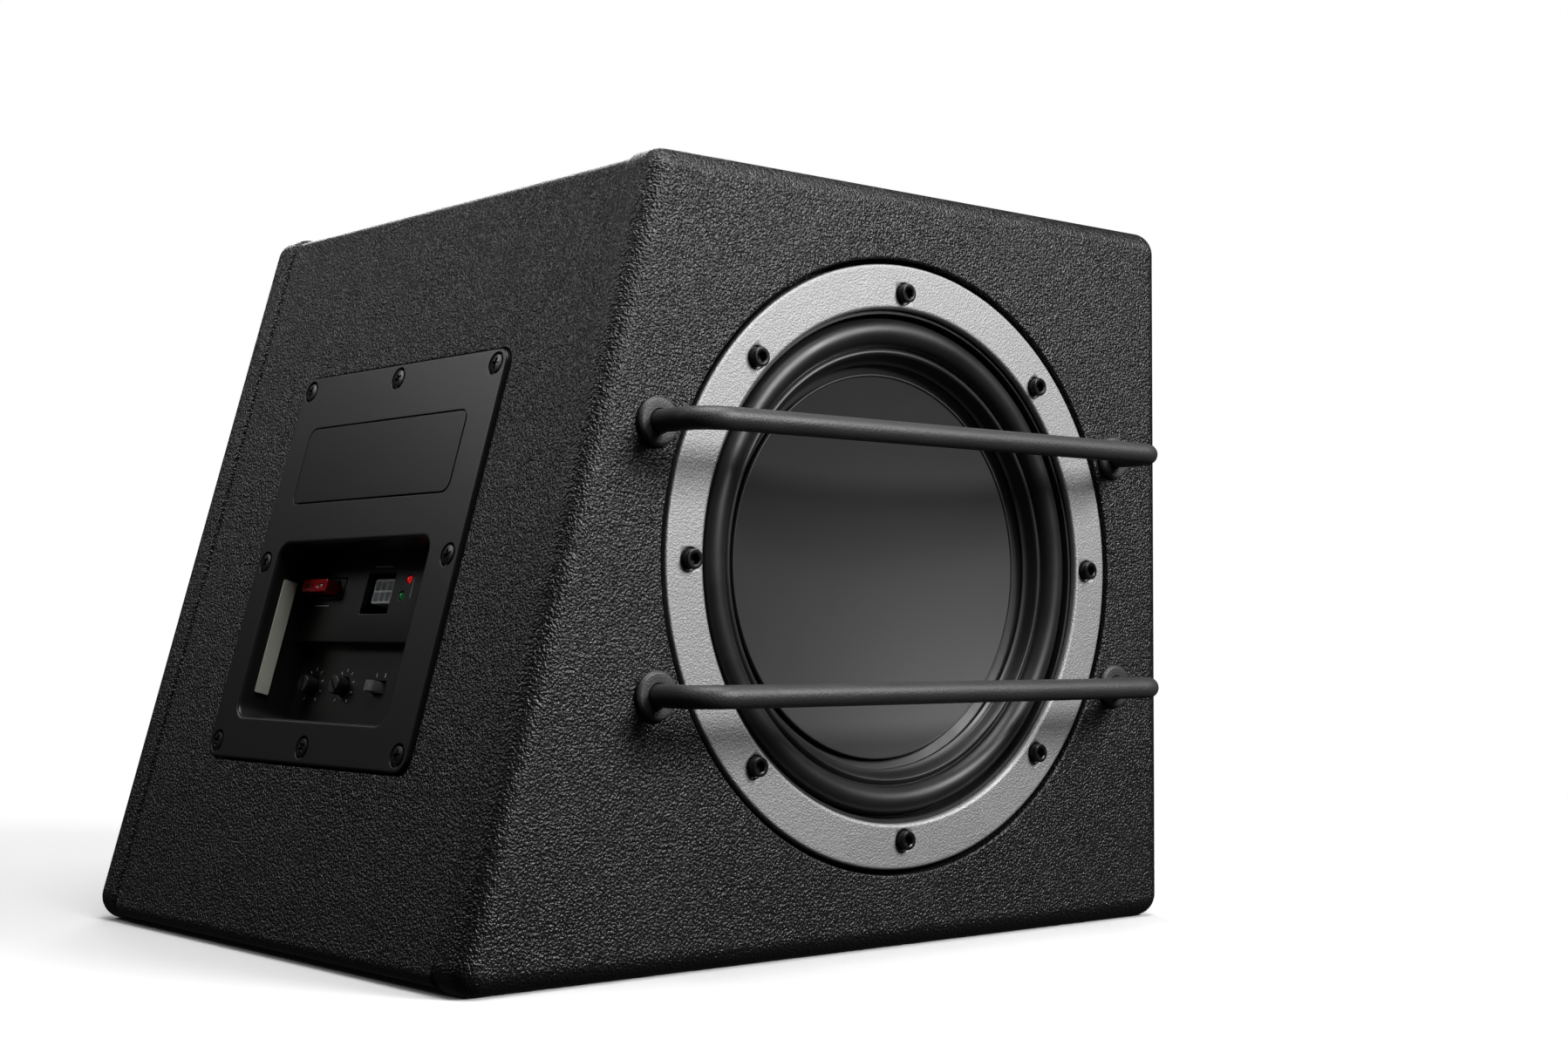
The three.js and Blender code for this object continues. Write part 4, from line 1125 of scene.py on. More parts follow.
@dataclass
class GuardBars:
    """Two bent round bars in front of the driver, with a washer on each leg and a nut behind it."""

    radius: float = 4.0
    bend: float = 12.0
    reach: float = 25.0
    end: float = 26.0
    flange: float = 8.5
    flange_bore: float = 4.3
    nut_width: float = 13.0
    nut_height: float = 6.0
    nut_bevel: tuple = (0.8, 0.4)
    flange_near: float = -2.3
    flange_far: float = -0.3
    board: float = 18.0

    def legs(self) -> list[tuple[float, float]]:
        """World X and Z of the four legs, in the order of the flanges' numbers."""
        ends = [(low_mm(f"bar_flange_{i}") + high_mm(f"bar_flange_{i}")) / 2 for i in range(1, 5)]
        return [(float(end[0]), float(end[2])) for end in ends]

    def make_bar(self, name: str, right: float, left: float, height: float) -> None:
        """One bar: a circle carried along a route of two legs, two bends and a straight front.

        Where the route has turned by angle a, the circle's directions are (cos a, sin a) in the level
        plane, which lies across the route, and the vertical.

        Args:
            name: the bar's node.
            right: X of the right leg.
            left: X of the left leg.
            height: Z of the bar.
        """
        r, bend, front = self.radius, self.bend, -self.reach
        route = path(
            (left, self.end), arc(left + bend, front + bend, bend, 180, 270, 14),
            arc(right - bend, front + bend, bend, 270, 360, 14), (right, self.end),
        )
        angle = np.radians([180, *np.linspace(180, 270, 15), *np.linspace(270, 360, 15), 360])
        sideways = np.stack([np.cos(angle), np.sin(angle)], 1)
        turn = np.arange(40) / 40 * math.tau
        level = route[:, None] + r * np.cos(turn)[None, :, None] * sideways[:, None]
        rise = height + r * np.sin(turn)
        points = np.stack([level[..., 0], np.broadcast_to(rise, level.shape[:2]), level[..., 1]], -1)
        shell = Shell(FRONT_PLACE).grid(points, wrap_columns=True)
        shell.face(points[0]).face(points[-1])
        shell.piece(f"{name}_powder_coated", "cabinet", POWDER, name)

    def make_fittings(self, number: int, x: float, z: float) -> None:
        """The washer in front of the board and the nut behind it, on one leg."""
        place = FRONT_PLACE.moved(x, z, 0.0)
        near, far, bore = self.flange_near, self.flange_far, self.flange_bore
        shoulder = [(self.flange, far), (self.flange, near + 0.8), (self.flange - 0.9, near)]
        profile = softened(np.array([(bore, far), *shoulder, (bore, near)]), 0.35)
        node = f"bar_flange_{number}"
        Shell(place).turned(profile, 72).piece(f"{node}_turned", "cabinet", POWDER, node)
        angle = np.arange(6) / 6 * math.tau
        corners = self.nut_width / 2 / math.cos(math.pi / 6) * np.stack([np.cos(angle), np.sin(angle)], 1)
        outline = rounded(corners, 0.6, 3)
        bore = circle(0, 0, self.radius + 0.05, 24)
        low, high = self.board, self.board + self.nut_height
        inwards, along = self.nut_bevel
        sides = [(-inwards, low), (0, low + along), (0, high - along), (-inwards, high)]
        shell = Shell(place).band(outline, np.array(sides))
        for level in (low, high):
            shell.flat(level, outline.at(-inwards), bore.at())
        shell.band(bore, np.array([(0, low), (0, high)]))
        shell.piece(f"bar_nut_{number}", "cabinet", STEEL)

    def make(self) -> None:
        """Builds both bars and the fittings on their four legs."""
        legs = self.legs()
        xs = sorted({round(x, 3) for x, _ in legs})
        for name in ("upper_guard_bar", "lower_guard_bar"):
            height = (low_mm(name) + high_mm(name))[2] / 2
            self.make_bar(name, xs[-1], xs[0], height)
        for number, (x, z) in enumerate(legs, 1):
            self.make_fittings(number, x, z)


# ---------------------------------------------------------------- amplifier


@dataclass
class AmplifierPlate:
    """The moulded plate with its badge, its screws and its stepped recess."""

    x: float = -132.8
    y: float = 146.0
    width: float = 143.7
    height: float = 153.7
    radius: float = 6.0
    top: float = 1.5
    thickness: float = 2.5
    rebate: float = 2.6
    clearance: float = 0.5
    cut_margin: float = 12.0
    rounding: float = 0.7
    margin: float = 0.4
    screw_x: tuple = (-65.4, 0.0, 65.4)
    screw_y: tuple = (-70.8, 0.5, 71.1)
    pocket: float = 4.3
    pocket_floor: float = 0.2
    badge_x: float = -133.7
    badge_y: float = 185.3
    badge_width: float = 111.4
    badge_height: float = 30.3
    badge_pocket: float = 0.8
    left: float = -189.4
    right: float = -81.0
    low: float = 85.4
    high: float = 153.5
    step: float = 119.3
    corner: float = 6.0
    wall: float = 2.5
    lip: float = 1.3
    soft: float = 0.2
    header_hole: tuple = (19.5, 16.0)
    header_hole_shift: float = -1.3
    holder_hole: tuple = (26.1, 8.7)
    switch_hole: tuple = (9.1, 5.4)
    lamp_hole: float = 1.8
    knob_hole: float = 4.1
    screw_hole: float = 1.9
    badge_gap: float = 0.3
    badge_thickness: float = 0.6
    label_up: float = 118.5
    label_out: float = -6.35
    label_size: tuple = (45.0, 5.9)
    label_thickness: float = 0.4

    def outline(self, grow: float) -> Outline:
        """The plate's outline, grown or shrunk."""
        radius = max(self.radius + grow, 2.0)
        return rectangle(self.x, self.y, self.width + 2 * grow, self.height + 2 * grow, radius)

    def screw_places(self) -> list[tuple[float, float]]:
        """Where the eight screws stand, row by row from the lowest, with none in the middle."""
        rows = [(dx, dy) for dy in self.screw_y for dx in self.screw_x]
        del rows[4]
        return [(self.x + dx, self.y + dy) for dx, dy in rows]

    def recess(self, grow: float, step: float) -> Outline:
        """The recess's outline with two points on each side at the step, just above and on it.

        The order is lower left arc, lower right arc, right side points, upper right arc, upper left arc and
        left side points, so that the first and last stretches bound the lower pocket.
        """
        radius = self.corner + grow
        w, h = self.right - self.left + 2 * grow, self.high - self.low + 2 * grow
        whole = rectangle((self.left + self.right) / 2, (self.low + self.high) / 2, w, h, radius)
        half = len(whole.centres) // 2
        sides = []
        for x, out in ((self.right + grow - radius, 1.0), (self.left - grow + radius, -1.0)):
            ys = (step, step + self.margin) if out > 0 else (step + self.margin, step)
            sides.append((np.array([(x, y) for y in ys]), np.array([(out, 0.0), (out, 0.0)])))
        centres = np.concatenate([whole.centres[:half], sides[0][0], whole.centres[half:], sides[1][0]])
        outward = np.concatenate([whole.outward[:half], sides[0][1], whole.outward[half:], sides[1][1]])
        return Outline(centres, outward, radius)

    def openings(self) -> tuple[list[Outline], list[Outline]]:
        """Openings through the upper floor and through the lower floor."""
        upper = [
            rectangle(HEADER_AT[0], HEADER_AT[1] + self.header_hole_shift, *self.header_hole, 0.5, 3),
            rectangle(*HOLDER_AT, *self.holder_hole, 0.5, 3),
            circle(*PROTECT_LAMP_AT, self.lamp_hole, 24),
            circle(*POWER_LAMP_AT, self.lamp_hole, 24),
        ]
        lower = [
            circle(GAIN_X, KNOB_ROW, self.knob_hole, 40),
            circle(BASS_X, KNOB_ROW, self.knob_hole, 40),
            rectangle(*SWITCH_AT, *self.switch_hole, 0.4, 3),
            circle(*FLOOR_SCREW_AT, self.screw_hole, 24),
        ]
        return upper, lower

    def tub(self, shell: Shell, grow: float, rim: np.ndarray, drop: float) -> np.ndarray:
        """One side of the recess's walls and floors.

        Args:
            shell: the surface that it joins.
            grow: distance outside the recess's inner face.
            rim: profile from the flange down into the wall.
            drop: distance of these floors below the inner ones.

        Returns:
            The line along which the walls leave the flange.
        """
        step = self.step + grow
        line = self.recess(grow, step)
        upper, lower = UPPER_FLOOR - drop, LOWER_FLOOR - drop
        shell.band(line, path(rim, (0, upper)))
        at = line.at()
        half = (len(at) - 4) // 2
        soft = self.margin
        upper_loop = at[half + 1 : -1]
        lower_loop = np.roll(at, 1, 0)[: half + 2]
        above, below = self.openings()
        shell.flat(upper, upper_loop, *(hole.at(soft) for hole in above))
        shell.flat(lower, lower_loop, *(hole.at(soft) for hole in below))
        levels = [upper, upper - soft, lower]
        strip = np.stack([np.column_stack([lower_loop, np.full(len(lower_loop), z)]) for z in levels], 1)
        shell.grid(strip)
        curve = path(arc(step + soft, upper - soft, soft, 90, 180, 5), (step, lower))
        ends = [np.column_stack([np.full(len(curve), x), curve]) for x in (at[half, 0], at[-1, 0])]
        shell.grid(np.stack(ends))
        for end in ends:
            corner = np.array([(end[0, 0], step, upper)])
            shell.face(np.concatenate([end[:-1], corner]))
        return line.at(rim[0, 0])

    def make_plate(self) -> None:
        """The plate: flat faces joined by bands round every outline, from the edge to the recess's floors."""
        outline, r, margin = self.outline(0.0), self.rounding, self.margin
        under = self.top - self.thickness
        shell = Shell(SIDE_PLACE)
        edge = path((-r - margin, self.top), arc(-r, self.top - r, r, 90, 0, 6), (0, under))
        shell.band(outline, edge)
        badge = rectangle(self.badge_x, self.badge_y, self.badge_width + 1, self.badge_height + 1, 4.5)
        pockets = [circle(x, y, self.pocket, 48) for x, y in self.screw_places()]
        mouth_round = arc(self.lip, self.top - self.lip, self.lip, 90, 180, 8)
        rim = path((self.lip + margin, self.top), mouth_round)
        mouth = self.tub(shell, 0.0, rim, 0.0)
        holes = [badge, *pockets]
        shell.flat(self.top, outline.at(-r - margin), mouth, *(hole.at(margin) for hole in holes))
        soft = self.soft
        floors = [self.top - self.badge_pocket, *(self.pocket_floor for _ in pockets)]
        for hole, floor in zip(holes, floors):
            lip = path((margin, self.top), arc(soft, self.top - soft, soft, 90, 180, 4), (0, floor))
            shell.band(hole, lip).flat(floor, hole.at())
        back = self.tub(shell, self.wall, np.array([(0.0, under)]), self.wall)
        shell.flat(under, outline.at(), back)
        for holes, floor in zip(self.openings(), (UPPER_FLOOR, LOWER_FLOOR)):
            for hole in holes:
                walls = path((margin, floor), arc(soft, floor - soft, soft, 90, 180, 3), (0, floor - 1))
                shell.band(hole, path(walls, (0, floor - self.wall), (margin, floor - self.wall)))
        shell.piece("amp_plate_moulded", "cabinet", MOULDED, "amp_plate", sharp=45)

    def make_badge(self) -> None:
        """The blank badge: a thin slab with rounded edges."""
        outline = rectangle(self.badge_x, self.badge_y, self.badge_width, self.badge_height, 4.0)
        low = self.top - self.badge_pocket + self.badge_gap
        shell = Shell(SIDE_PLACE).slab(outline, low, low + self.badge_thickness, 0.15)
        shell.piece("badge_blank", "cabinet", BADGE, "badge")

    def make_label(self) -> None:
        """The blank strip on the recess's rear wall."""
        place = SIDE_PLACE.moved(self.left + 0.3, 0.0, 0.0).reordered(1, 2, 0)
        outline = rectangle(self.label_up, self.label_out, *self.label_size, 0.5, 3)
        shell = Shell(place).slab(outline, 0.0, self.label_thickness, 0.12)
        shell.piece("rating_label_blank", "cabinet", LABEL, "rating_label")

    def make(self) -> None:
        """Builds the plate and what is fixed to it."""
        self.make_plate()
        self.make_badge()
        self.make_label()
        cross = CrossScrew(radius=3.4, height=1.3, shank=1.6, length=2.4)
        for number, (x, y) in enumerate(self.screw_places(), 1):
            place = SIDE_PLACE.moved(x, y, self.pocket_floor + 0.3, 0.5 + 0.9 * number)
            cross.make(place, f"amp_screw_{number}_cross", f"amp_screw_{number}")
        small = CrossScrew(radius=2.4, height=1.2, shank=1.5, length=8.0)
        place = SIDE_PLACE.moved(*FLOOR_SCREW_AT, LOWER_FLOOR + 0.3, 0.4)
        small.make(place, "floor_screw_cross", "floor_screw")
        dress(FOAM, "amp_gasket")


def disc_grid(lines: np.ndarray, radius: float) -> np.ndarray:
    """A square grid carried onto a disc.

    Square contours near the middle stay square. Towards the rim each is moved towards the circle of the
    same half width, by a smooth share that reaches one at the rim.

    Args:
        lines: grid lines from -1 to 1.
        radius: the disc's radius.

    Returns:
        The grid's x and y.
    """
    u, v = np.meshgrid(lines, lines, indexing="ij")
    half = np.maximum(np.abs(u), np.abs(v))
    share = np.clip((half - 0.4) / 0.6, 0, 1)
    share = share * share * (3 - 2 * share)
    pull = (1 - share) + share * half / np.maximum(np.hypot(u, v), 1e-9)
    return np.stack([u * pull, v * pull], -1) * radius


def rim_of(grid: np.ndarray) -> np.ndarray:
    """The border points of a square grid, once round."""
    return np.concatenate([grid[:-1, 0], grid[-1, :-1], grid[:0:-1, -1], grid[0, :0:-1]])


@dataclass
class CrossScrew:
    """A low round screw head with a cross recess and a plain shank.

    The arm's half width and its reach are shares of the head's radius.
    """

    radius: float
    height: float
    shank: float
    length: float
    arm: float = 0.17
    reach: float = 0.6
    recess: float = 0.85
    dome: float = 0.35
    soft: float = 0.03

    def make(self, place: Place, name: str, node: str) -> None:
        """Builds the screw: a domed disc sunk along two crossing arms, and turned sides.

        The top's height is a dome less the recess where a point lies in an arm, with a short slope between.

        Args:
            place: the frame at the middle of the head's seat.
            name: name of the piece.
            node: the node that it stands for.
        """
        arm, reach, soft = self.arm, self.reach, self.soft
        half = np.array(
            [0, arm - soft, arm + soft, 0.3, 0.45, reach - soft, reach + soft, 0.75, 0.88, 1.0]
        )
        lines = np.concatenate([-half[:0:-1], half])
        grid = disc_grid(lines, self.radius)
        u, v = np.abs(np.meshgrid(lines, lines, indexing="ij"))
        upright = self.slope(u, arm) * self.slope(v, reach)
        inside = np.maximum(upright, self.slope(v, arm) * self.slope(u, reach))
        away = np.hypot(grid[..., 0], grid[..., 1]) / self.radius
        top = self.height - self.dome * away**2 - self.recess * inside
        shell = Shell(place).grid(np.concatenate([grid, top[..., None]], -1))
        rim = rim_of(grid)
        outline = Outline(np.zeros_like(rim), rim / self.radius, self.radius)
        edge, neck = self.height - self.dome, self.shank - self.radius
        shell.band(outline, path((0, edge), (0.0, edge - 0.12), (0, 0), (neck, 0)))
        shell.band(outline, np.array([(neck, 0), (neck, -self.length)]))
        shell.flat(-self.length, outline.at(neck))
        shell.piece(name, "cabinet", SCREW_BLACK, node, sharp=35)

    def slope(self, distance: np.ndarray, limit: float) -> np.ndarray:
        """One inside a limit, zero outside it, with a short slope across it."""
        return np.clip((limit + self.soft - distance) / (2 * self.soft), 0, 1)


@dataclass
class Controls:
    """Level controls, phase switch, lamps, fuse and header in the recess."""

    knob: float = 3.5
    knob_length: float = 4.8
    knob_corner: float = 0.35
    knob_inside: float = 3.0
    slot_half_width: float = 0.55
    slot_depth: float = 1.4
    slot_slope: float = 0.012
    lamp: float = 1.5
    lever: tuple = (5.3, 4.2)
    lever_low: float = -26.0
    lever_high: float = -16.9
    rib: tuple = (0.6, 4.0)
    rib_pitch: float = 1.2
    fuse: tuple = (19.1, 5.1)
    fuse_top: float = -10.0
    fuse_bottom: float = -22.0
    window: tuple = (2.8, 1.5)
    window_depth: float = 1.5
    window_offset: float = 4.6
    holder: tuple = (25.1, 8.1)
    holder_well: tuple = (19.9, 5.9)
    well_floor: float = -22.6
    clip: tuple = (6.0, 1.6)
    clip_depth: float = 7.4
    blade_offset: float = 4.8
    header: tuple = (13.8, 9.6)
    header_face: float = -17.5
    way_pitch: float = 4.2
    way_width: float = 3.4
    way_depth: float = 11.0
    print_height: float = 0.05

    def make_knob(self, joint_name: str, body: str, node: str, turn: float) -> None:
        """A slotted shaft: a disc with a straight slot across it, on turned sides.

        Args:
            joint_name: the hinge whose axis it turns on.
            body: the body that it rides on.
            node: the node that it stands for.
            turn: the slot's angle at rest.
        """
        place = Place(np.array(joint(joint_name)["pos_m"]), SIDE_AXES).moved(0, 0, 0, turn)
        edge, slope = self.slot_half_width / self.knob, self.slot_slope
        half = np.array([0, edge - slope, edge + slope, 0.3, 0.5, 0.7, 0.85, 0.95, 1.0])
        lines = np.concatenate([-half[:0:-1], half])
        grid = disc_grid(lines, self.knob - self.knob_corner)
        across = np.abs(np.meshgrid(lines, lines, indexing="ij")[0])
        sunk = np.clip((edge + slope - across) / (2 * slope), 0, 1)
        top = self.knob_length - self.slot_depth * sunk
        shell = Shell(place).grid(np.concatenate([grid, top[..., None]], -1))
        rim = rim_of(grid)
        rim_top = rim_of(top)
        out = rim / np.linalg.norm(rim, axis=1, keepdims=True)
        corner, whole = self.knob_corner, self.knob_length + self.knob_inside
        grow = np.array([0.0, 0.2, corner, corner, corner])
        fall = np.array([0.0, 0.06, 0.3, 1.5, whole])
        side = rim[:, None] + out[:, None] * grow[None, :, None]
        bottom = self.knob_length - fall[None, :]
        height = np.minimum(np.broadcast_to(bottom, side.shape[:2]), rim_top[:, None])
        shell.grid(np.concatenate([side, height[..., None]], -1), wrap_rows=True)
        shell.face(np.column_stack([side[:, -1], height[:, -1]]))
        shell.piece(f"{node}_slotted", body, KNOB, node, sharp=35)

    def make_lever(self) -> None:
        """The switch's lever: a rounded block with four ribs across its end."""
        low, high = low_mm("phase_slider"), high_mm("phase_slider")
        middle = ((low + high) / 2 * MM - SIDE_PLACE.origin) / MM
        x, y = float(middle @ SIDE_AXES[0]), float(middle @ SIDE_AXES[1])
        shell = Shell(SIDE_PLACE)
        shell.slab(rectangle(x, y, *self.lever, 0.4, 3), self.lever_low, self.lever_high, 0.2)
        for step in (-1.5, -0.5, 0.5, 1.5):
            rib = rectangle(x + step * self.rib_pitch, y, *self.rib, 0.15, 2)
            shell.slab(rib, self.lever_high - 0.1, self.lever_high + 0.4, 0.1)
        shell.piece("phase_slider_ribbed", "phase_lever", LEVER, "phase_slider")

    def make_lamp(self, node: str, finish: Finish, x: float, y: float) -> None:
        """A small lamp: a cylinder that ends in a dome."""
        dome = arc(0, UPPER_FLOOR + 0.6 - self.lamp, self.lamp, 0, 90, 8)
        profile = path((0, BOARD_FACE), (self.lamp, BOARD_FACE), dome)
        shell = Shell(SIDE_PLACE.moved(x, y, 0)).turned(profile, 32, closed=False)
        shell.piece(f"{node}_domed", "cabinet", finish, node)

    def make_fuse(self) -> None:
        """The blade fuse: a wide red head with two test windows, a narrower foot, and two blades."""
        (x, y), top, bottom = FUSE_AT, self.fuse_top, self.fuse_bottom
        head = rectangle(x, y, *self.fuse, 1.2, 5)
        offsets = (-self.window_offset, self.window_offset)
        windows = [rectangle(x + dx, y, *self.window, 0.3, 3) for dx in offsets]
        r, margin, sill = 0.5, 0.2, UPPER_FLOOR
        foot = [(-1.0, sill), (-1.1, sill - 0.3), (-1.1, bottom + 0.4), (-1.5, bottom)]
        crown = arc(-r, top - r, r, 90, 0, 5)
        edge = path((-r - margin, top), crown, arc(-0.3, sill + 0.3, 0.3, 0, -90, 3), foot)
        shell = Shell(SIDE_PLACE).band(head, edge)
        shell.flat(top, head.at(-r - margin), *(window.at(margin) for window in windows))
        floor = top - self.window_depth
        for window in windows:
            lip = path((margin, top), (0.0, top - 0.15), (0, floor))
            shell.band(window, lip).flat(floor, window.at())
        shell.flat(bottom, head.at(-1.5))
        shell.piece("fuse_body_clear", "fuse", FUSE_RED, "fuse_body")
        metal = Shell(SIDE_PLACE)
        for dx in (-4.7, 4.7):
            metal.slab(rectangle(x + dx, y, 2.1, 0.9, 0.2, 2), floor + 0.05, top - 0.5, 0.12)
            metal.slab(rectangle(x + dx * 1.02, y, 5.0, 0.7, 0.2, 2), bottom - 7.0, bottom, 0.15)
        metal.piece("fuse_blades_tinned", "fuse", TINNED, "fuse_blades")

    def make_holder(self) -> None:
        """The fuse's holder: a rounded block with a well for the fuse."""
        outer = rectangle(*HOLDER_AT, *self.holder, 1.0, 4)
        well = rectangle(*FUSE_AT, *self.holder_well, 0.9, 4)
        high, floor, r, margin = UPPER_FLOOR, self.well_floor, 0.4, 0.2
        shell = Shell(SIDE_PLACE)
        shell.band(outer, path((-r - margin, high), arc(-r, high - r, r, 90, 0, 4), (0, BOARD_FACE)))
        shell.flat(high, outer.at(-r - margin), well.at(r + margin))
        shell.band(well, path((r + margin, high), arc(r, high - r, r, 90, 180, 4), (0, floor)))
        offsets = (-self.blade_offset, self.blade_offset)
        clips = [rectangle(FUSE_AT[0] + dx, FUSE_AT[1], *self.clip, 0.2, 2) for dx in offsets]
        shell.flat(floor, well.at(), *(clip.at() for clip in clips))
        end = floor - self.clip_depth
        for clip in clips:
            shell.band(clip, np.array([(0, floor), (0, end)])).flat(end, clip.at())
        shell.flat(BOARD_FACE, outer.at())
        shell.piece("fuse_holder_moulded", "cabinet", MOULDED, "fuse_holder")

    def make_header(self) -> None:
        """The six-way header: a rounded block with six square wells, and a pin in each."""
        (x, y), face, r, margin = HEADER_AT, self.header_face, 0.3, 0.15
        outer = rectangle(x, y, *self.header, 0.8, 4)
        pitch = self.way_pitch
        places = [(x + column * pitch, y + row * pitch) for column in (-1, 0, 1) for row in (-0.5, 0.5)]
        wells = [rectangle(px, py, self.way_width, self.way_width, 0.5, 4) for px, py in places]
        floor = face - self.way_depth
        shell = Shell(SIDE_PLACE)
        shell.band(outer, path((-r - margin, face), arc(-r, face - r, r, 90, 0, 4), (0, BOARD_FACE)))
        shell.flat(face, outer.at(-r - margin), *(well.at(margin) for well in wells))
        for well in wells:
            lip = path((margin, face), (0.02, face - 0.12), (0, floor))
            shell.band(well, lip).flat(floor, well.at())
        shell.flat(BOARD_FACE, outer.at())
        shell.piece("power_header_moulded", "cabinet", HEADER, "power_header")
        pins = Shell(SIDE_PLACE)
        for px, py in places:
            pins.slab(rectangle(px, py, 1.1, 1.1, 0.2, 2), floor + 0.1, face - 3.0, 0.3)
        pins.piece("header_pins", "cabinet", TINNED)

    def mark(self, shell: Shell, middle: tuple, size: tuple, floor: float) -> None:
        """Adds one printed bar on a floor of the recess."""
        shell.slab(rectangle(*middle, *size, 0.1, 2), floor, floor + self.print_height, 0.02)

    def make_print(self) -> None:
        """Plain scale marks round both level controls, beside the switch and by what stands above."""
        shell = Shell(SIDE_PLACE)
        for x in (GAIN_X, BASS_X):
            for angle in np.radians(np.linspace(-140, 140, 9)):
                shell.at(SIDE_PLACE.moved(x, KNOB_ROW, 0, -angle))
                self.mark(shell, (0, 6.6), (0.3, 1.3), LOWER_FLOOR)
        shell.at(SIDE_PLACE)
        for side in (-3.0, 3.0):
            self.mark(shell, (SWITCH_AT[0] + side, SWITCH_AT[1] + 4.7), (0.35, 1.6), LOWER_FLOOR)
        self.mark(shell, (HEADER_AT[0], HEADER_AT[1] + 9.0), (13.0, 0.35), UPPER_FLOOR)
        self.mark(shell, (FUSE_AT[0], FUSE_AT[1] - 6.7), (10.0, 0.35), UPPER_FLOOR)
        self.mark(shell, (-114.0, 140.2), (0.35, 8.0), UPPER_FLOOR)
        shell.piece("scale_marks", "cabinet", PRINT)

    def make(self) -> None:
        """Builds every control and dresses what lies behind them."""
        self.make_knob("gain_turn", "gain_shaft", "gain_knob", 0.0)
        self.make_knob("bass_turn", "bass_shaft", "bass_knob", math.pi / 4)
        self.make_lever()
        self.make_lamp("protect_lamp", LAMP_RED, *PROTECT_LAMP_AT)
        self.make_lamp("power_lamp", LAMP_GREEN, *POWER_LAMP_AT)
        self.make_fuse()
        self.make_holder()
        self.make_header()
        self.make_print()
        dress(POT, "gain_pot", "bass_pot")
        dress(STEEL, "phase_switch")
        dress(CIRCUIT, "amp_board")
        dress(ALUMINIUM, "heat_sink")


# ---------------------------------------------------------------- studio


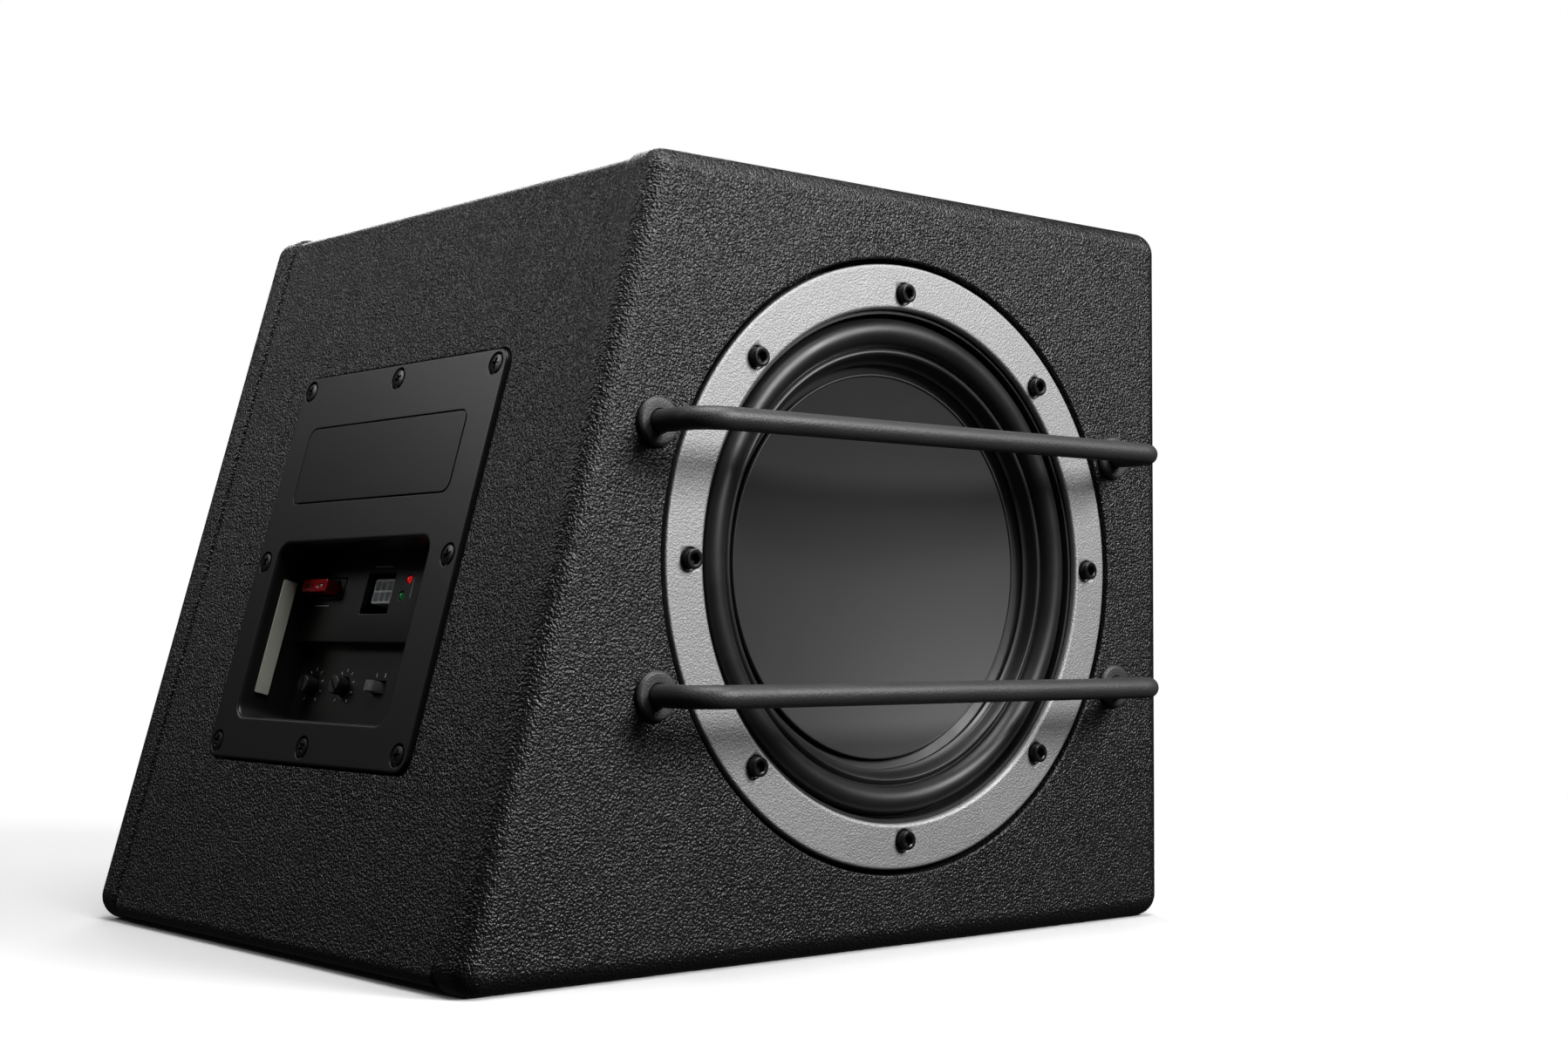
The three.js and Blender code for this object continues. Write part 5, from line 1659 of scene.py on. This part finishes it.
@dataclass
class Studio:
    """Floor, backdrop light, lamps and camera."""

    eye: tuple = (-717.2, -588.3, 115.7)
    heading: float = 41.0
    rise: float = 2.764
    roll: float = 0.203
    lens: float = 51.02
    sensor: float = 36.0
    ambient: float = 0.02
    floor_radius: float = 1.3
    floor_level: float = 0.8
    fade: tuple = (0.32, 1.0)
    lights: tuple = (
        ("key", (0.65, -1.45, 1.0), (0.0, -0.1, 0.16), 0.7, 34.0),
        ("side_sheen", (-0.95, 1.15, 1.15), (-0.13, 0.0, 0.16), 0.6, 6.0),
        ("top", (-0.1, -0.35, 1.7), (0.0, 0.0, 0.1), 1.0, 26.0),
        ("back_fill", (0.75, 1.5, 0.9), (0.0, 0.1, 0.14), 0.9, 16.0),
    )

    def make_camera(self) -> None:
        """The camera: level direction from its heading, then its rise, then its roll."""
        yaw, pitch, roll = (math.radians(a) for a in (self.heading, self.rise, self.roll))
        ahead = Vector((math.sin(yaw) * math.cos(pitch), math.cos(yaw) * math.cos(pitch), math.sin(pitch)))
        side = Vector((math.cos(yaw), -math.sin(yaw), 0.0))
        over = side.cross(ahead)
        right = side * math.cos(roll) + over * math.sin(roll)
        up = over * math.cos(roll) - side * math.sin(roll)
        data = bpy.data.cameras.new("camera")
        data.lens, data.sensor_width = self.lens, self.sensor
        data.clip_start, data.clip_end = 0.01, 100.0
        camera = bpy.data.objects.new("camera", data)
        turn = Matrix((right, up, -ahead)).transposed().to_4x4()
        corner = Vector((RIGHT, FRONT, 0.0))
        camera.matrix_world = Matrix.Translation((corner + Vector(self.eye)) * MM) @ turn
        bpy.context.scene.collection.objects.link(camera)
        bpy.context.scene.camera = camera

    def make_light(self, name: str, place: tuple, aim: tuple, size: float, watts: float) -> None:
        """A square soft light that looks at a point."""
        data = bpy.data.lights.new(name, "AREA")
        data.energy, data.size = watts, size
        light = bpy.data.objects.new(name, data)
        light.location = place
        light.rotation_euler = (Vector(aim) - Vector(place)).to_track_quat("-Z", "Y").to_euler()
        light.visible_camera = False
        bpy.context.scene.collection.objects.link(light)

    def make_world(self) -> None:
        """A white backdrop that adds only a dim light of its own."""
        world = bpy.data.worlds.new("studio")
        world.use_nodes = True
        tree = world.node_tree
        output = tree.nodes["World Output"]
        seen = tree.nodes["Background"]
        seen.inputs["Color"].default_value = (1.0, 1.0, 1.0, 1.0)
        seen.inputs["Strength"].default_value = 1.0
        dim = tree.nodes.new("ShaderNodeBackground")
        dim.inputs["Color"].default_value = (1.0, 1.0, 1.0, 1.0)
        dim.inputs["Strength"].default_value = self.ambient
        rays = tree.nodes.new("ShaderNodeLightPath")
        mix = tree.nodes.new("ShaderNodeMixShader")
        tree.links.new(rays.outputs["Is Camera Ray"], mix.inputs[0])
        tree.links.new(dim.outputs[0], mix.inputs[1])
        tree.links.new(seen.outputs[0], mix.inputs[2])
        tree.links.new(mix.outputs[0], output.inputs["Surface"])
        bpy.context.scene.world = world
        bpy.context.scene.view_settings.view_transform = "Standard"

    def make_floor(self) -> None:
        """A wide pale floor that turns into the white of the backdrop towards its rim.

        The share of white is a smooth step of the distance from the middle. The floor throws no light
        back at the object, as the photograph's dark lower parts show.
        """
        angle = np.arange(96) / 96 * math.tau
        rim = self.floor_radius * np.stack([np.cos(angle), np.sin(angle), np.zeros(96)], 1)
        mesh = bpy.data.meshes.new("floor")
        mesh.from_pydata(rim, [], [list(range(96))])
        floor = bpy.data.objects.new("floor", mesh)
        bpy.context.scene.collection.objects.link(floor)
        graph = Graph("floor_look")
        away = graph.node("ShaderNodeVectorMath", {0: graph.place}, operation="LENGTH").outputs["Value"]
        near, far = self.fade
        share = graph.scaled(away, near, far, 0.0, 1.0)
        share.node.interpolation_type = "SMOOTHSTEP"
        graph.fix("Roughness", 0.9)
        graph.fix("Specular IOR Level", 0.0)
        graph.fix("Emission Color", (1.0, 1.0, 1.0, 1.0))
        graph.feed("Emission Strength", share)
        level = self.floor_level
        graph.feed("Base Color", graph.blended(share, (level, level, level, 1.0), (0.0, 0.0, 0.0, 1.0)))
        mesh.materials.append(graph.material)
        floor.visible_diffuse = False
        floor.visible_glossy = False

    def make(self) -> None:
        """Sets up the whole studio."""
        self.make_camera()
        self.make_world()
        self.make_floor()
        for light in self.lights:
            self.make_light(*light)


# ---------------------------------------------------------------- the whole object


def main() -> None:
    """Builds the studio and then each assembly in order."""
    logging.basicConfig(level=logging.INFO, format="%(name)s %(message)s")
    Studio().make()
    for assembly in (Cabinet(), TrimRing(), Driver(), GuardBars(), AmplifierPlate(), Controls()):
        LOG.info("building %s", type(assembly).__name__)
        assembly.make()


if __name__ == "__main__":
    main()
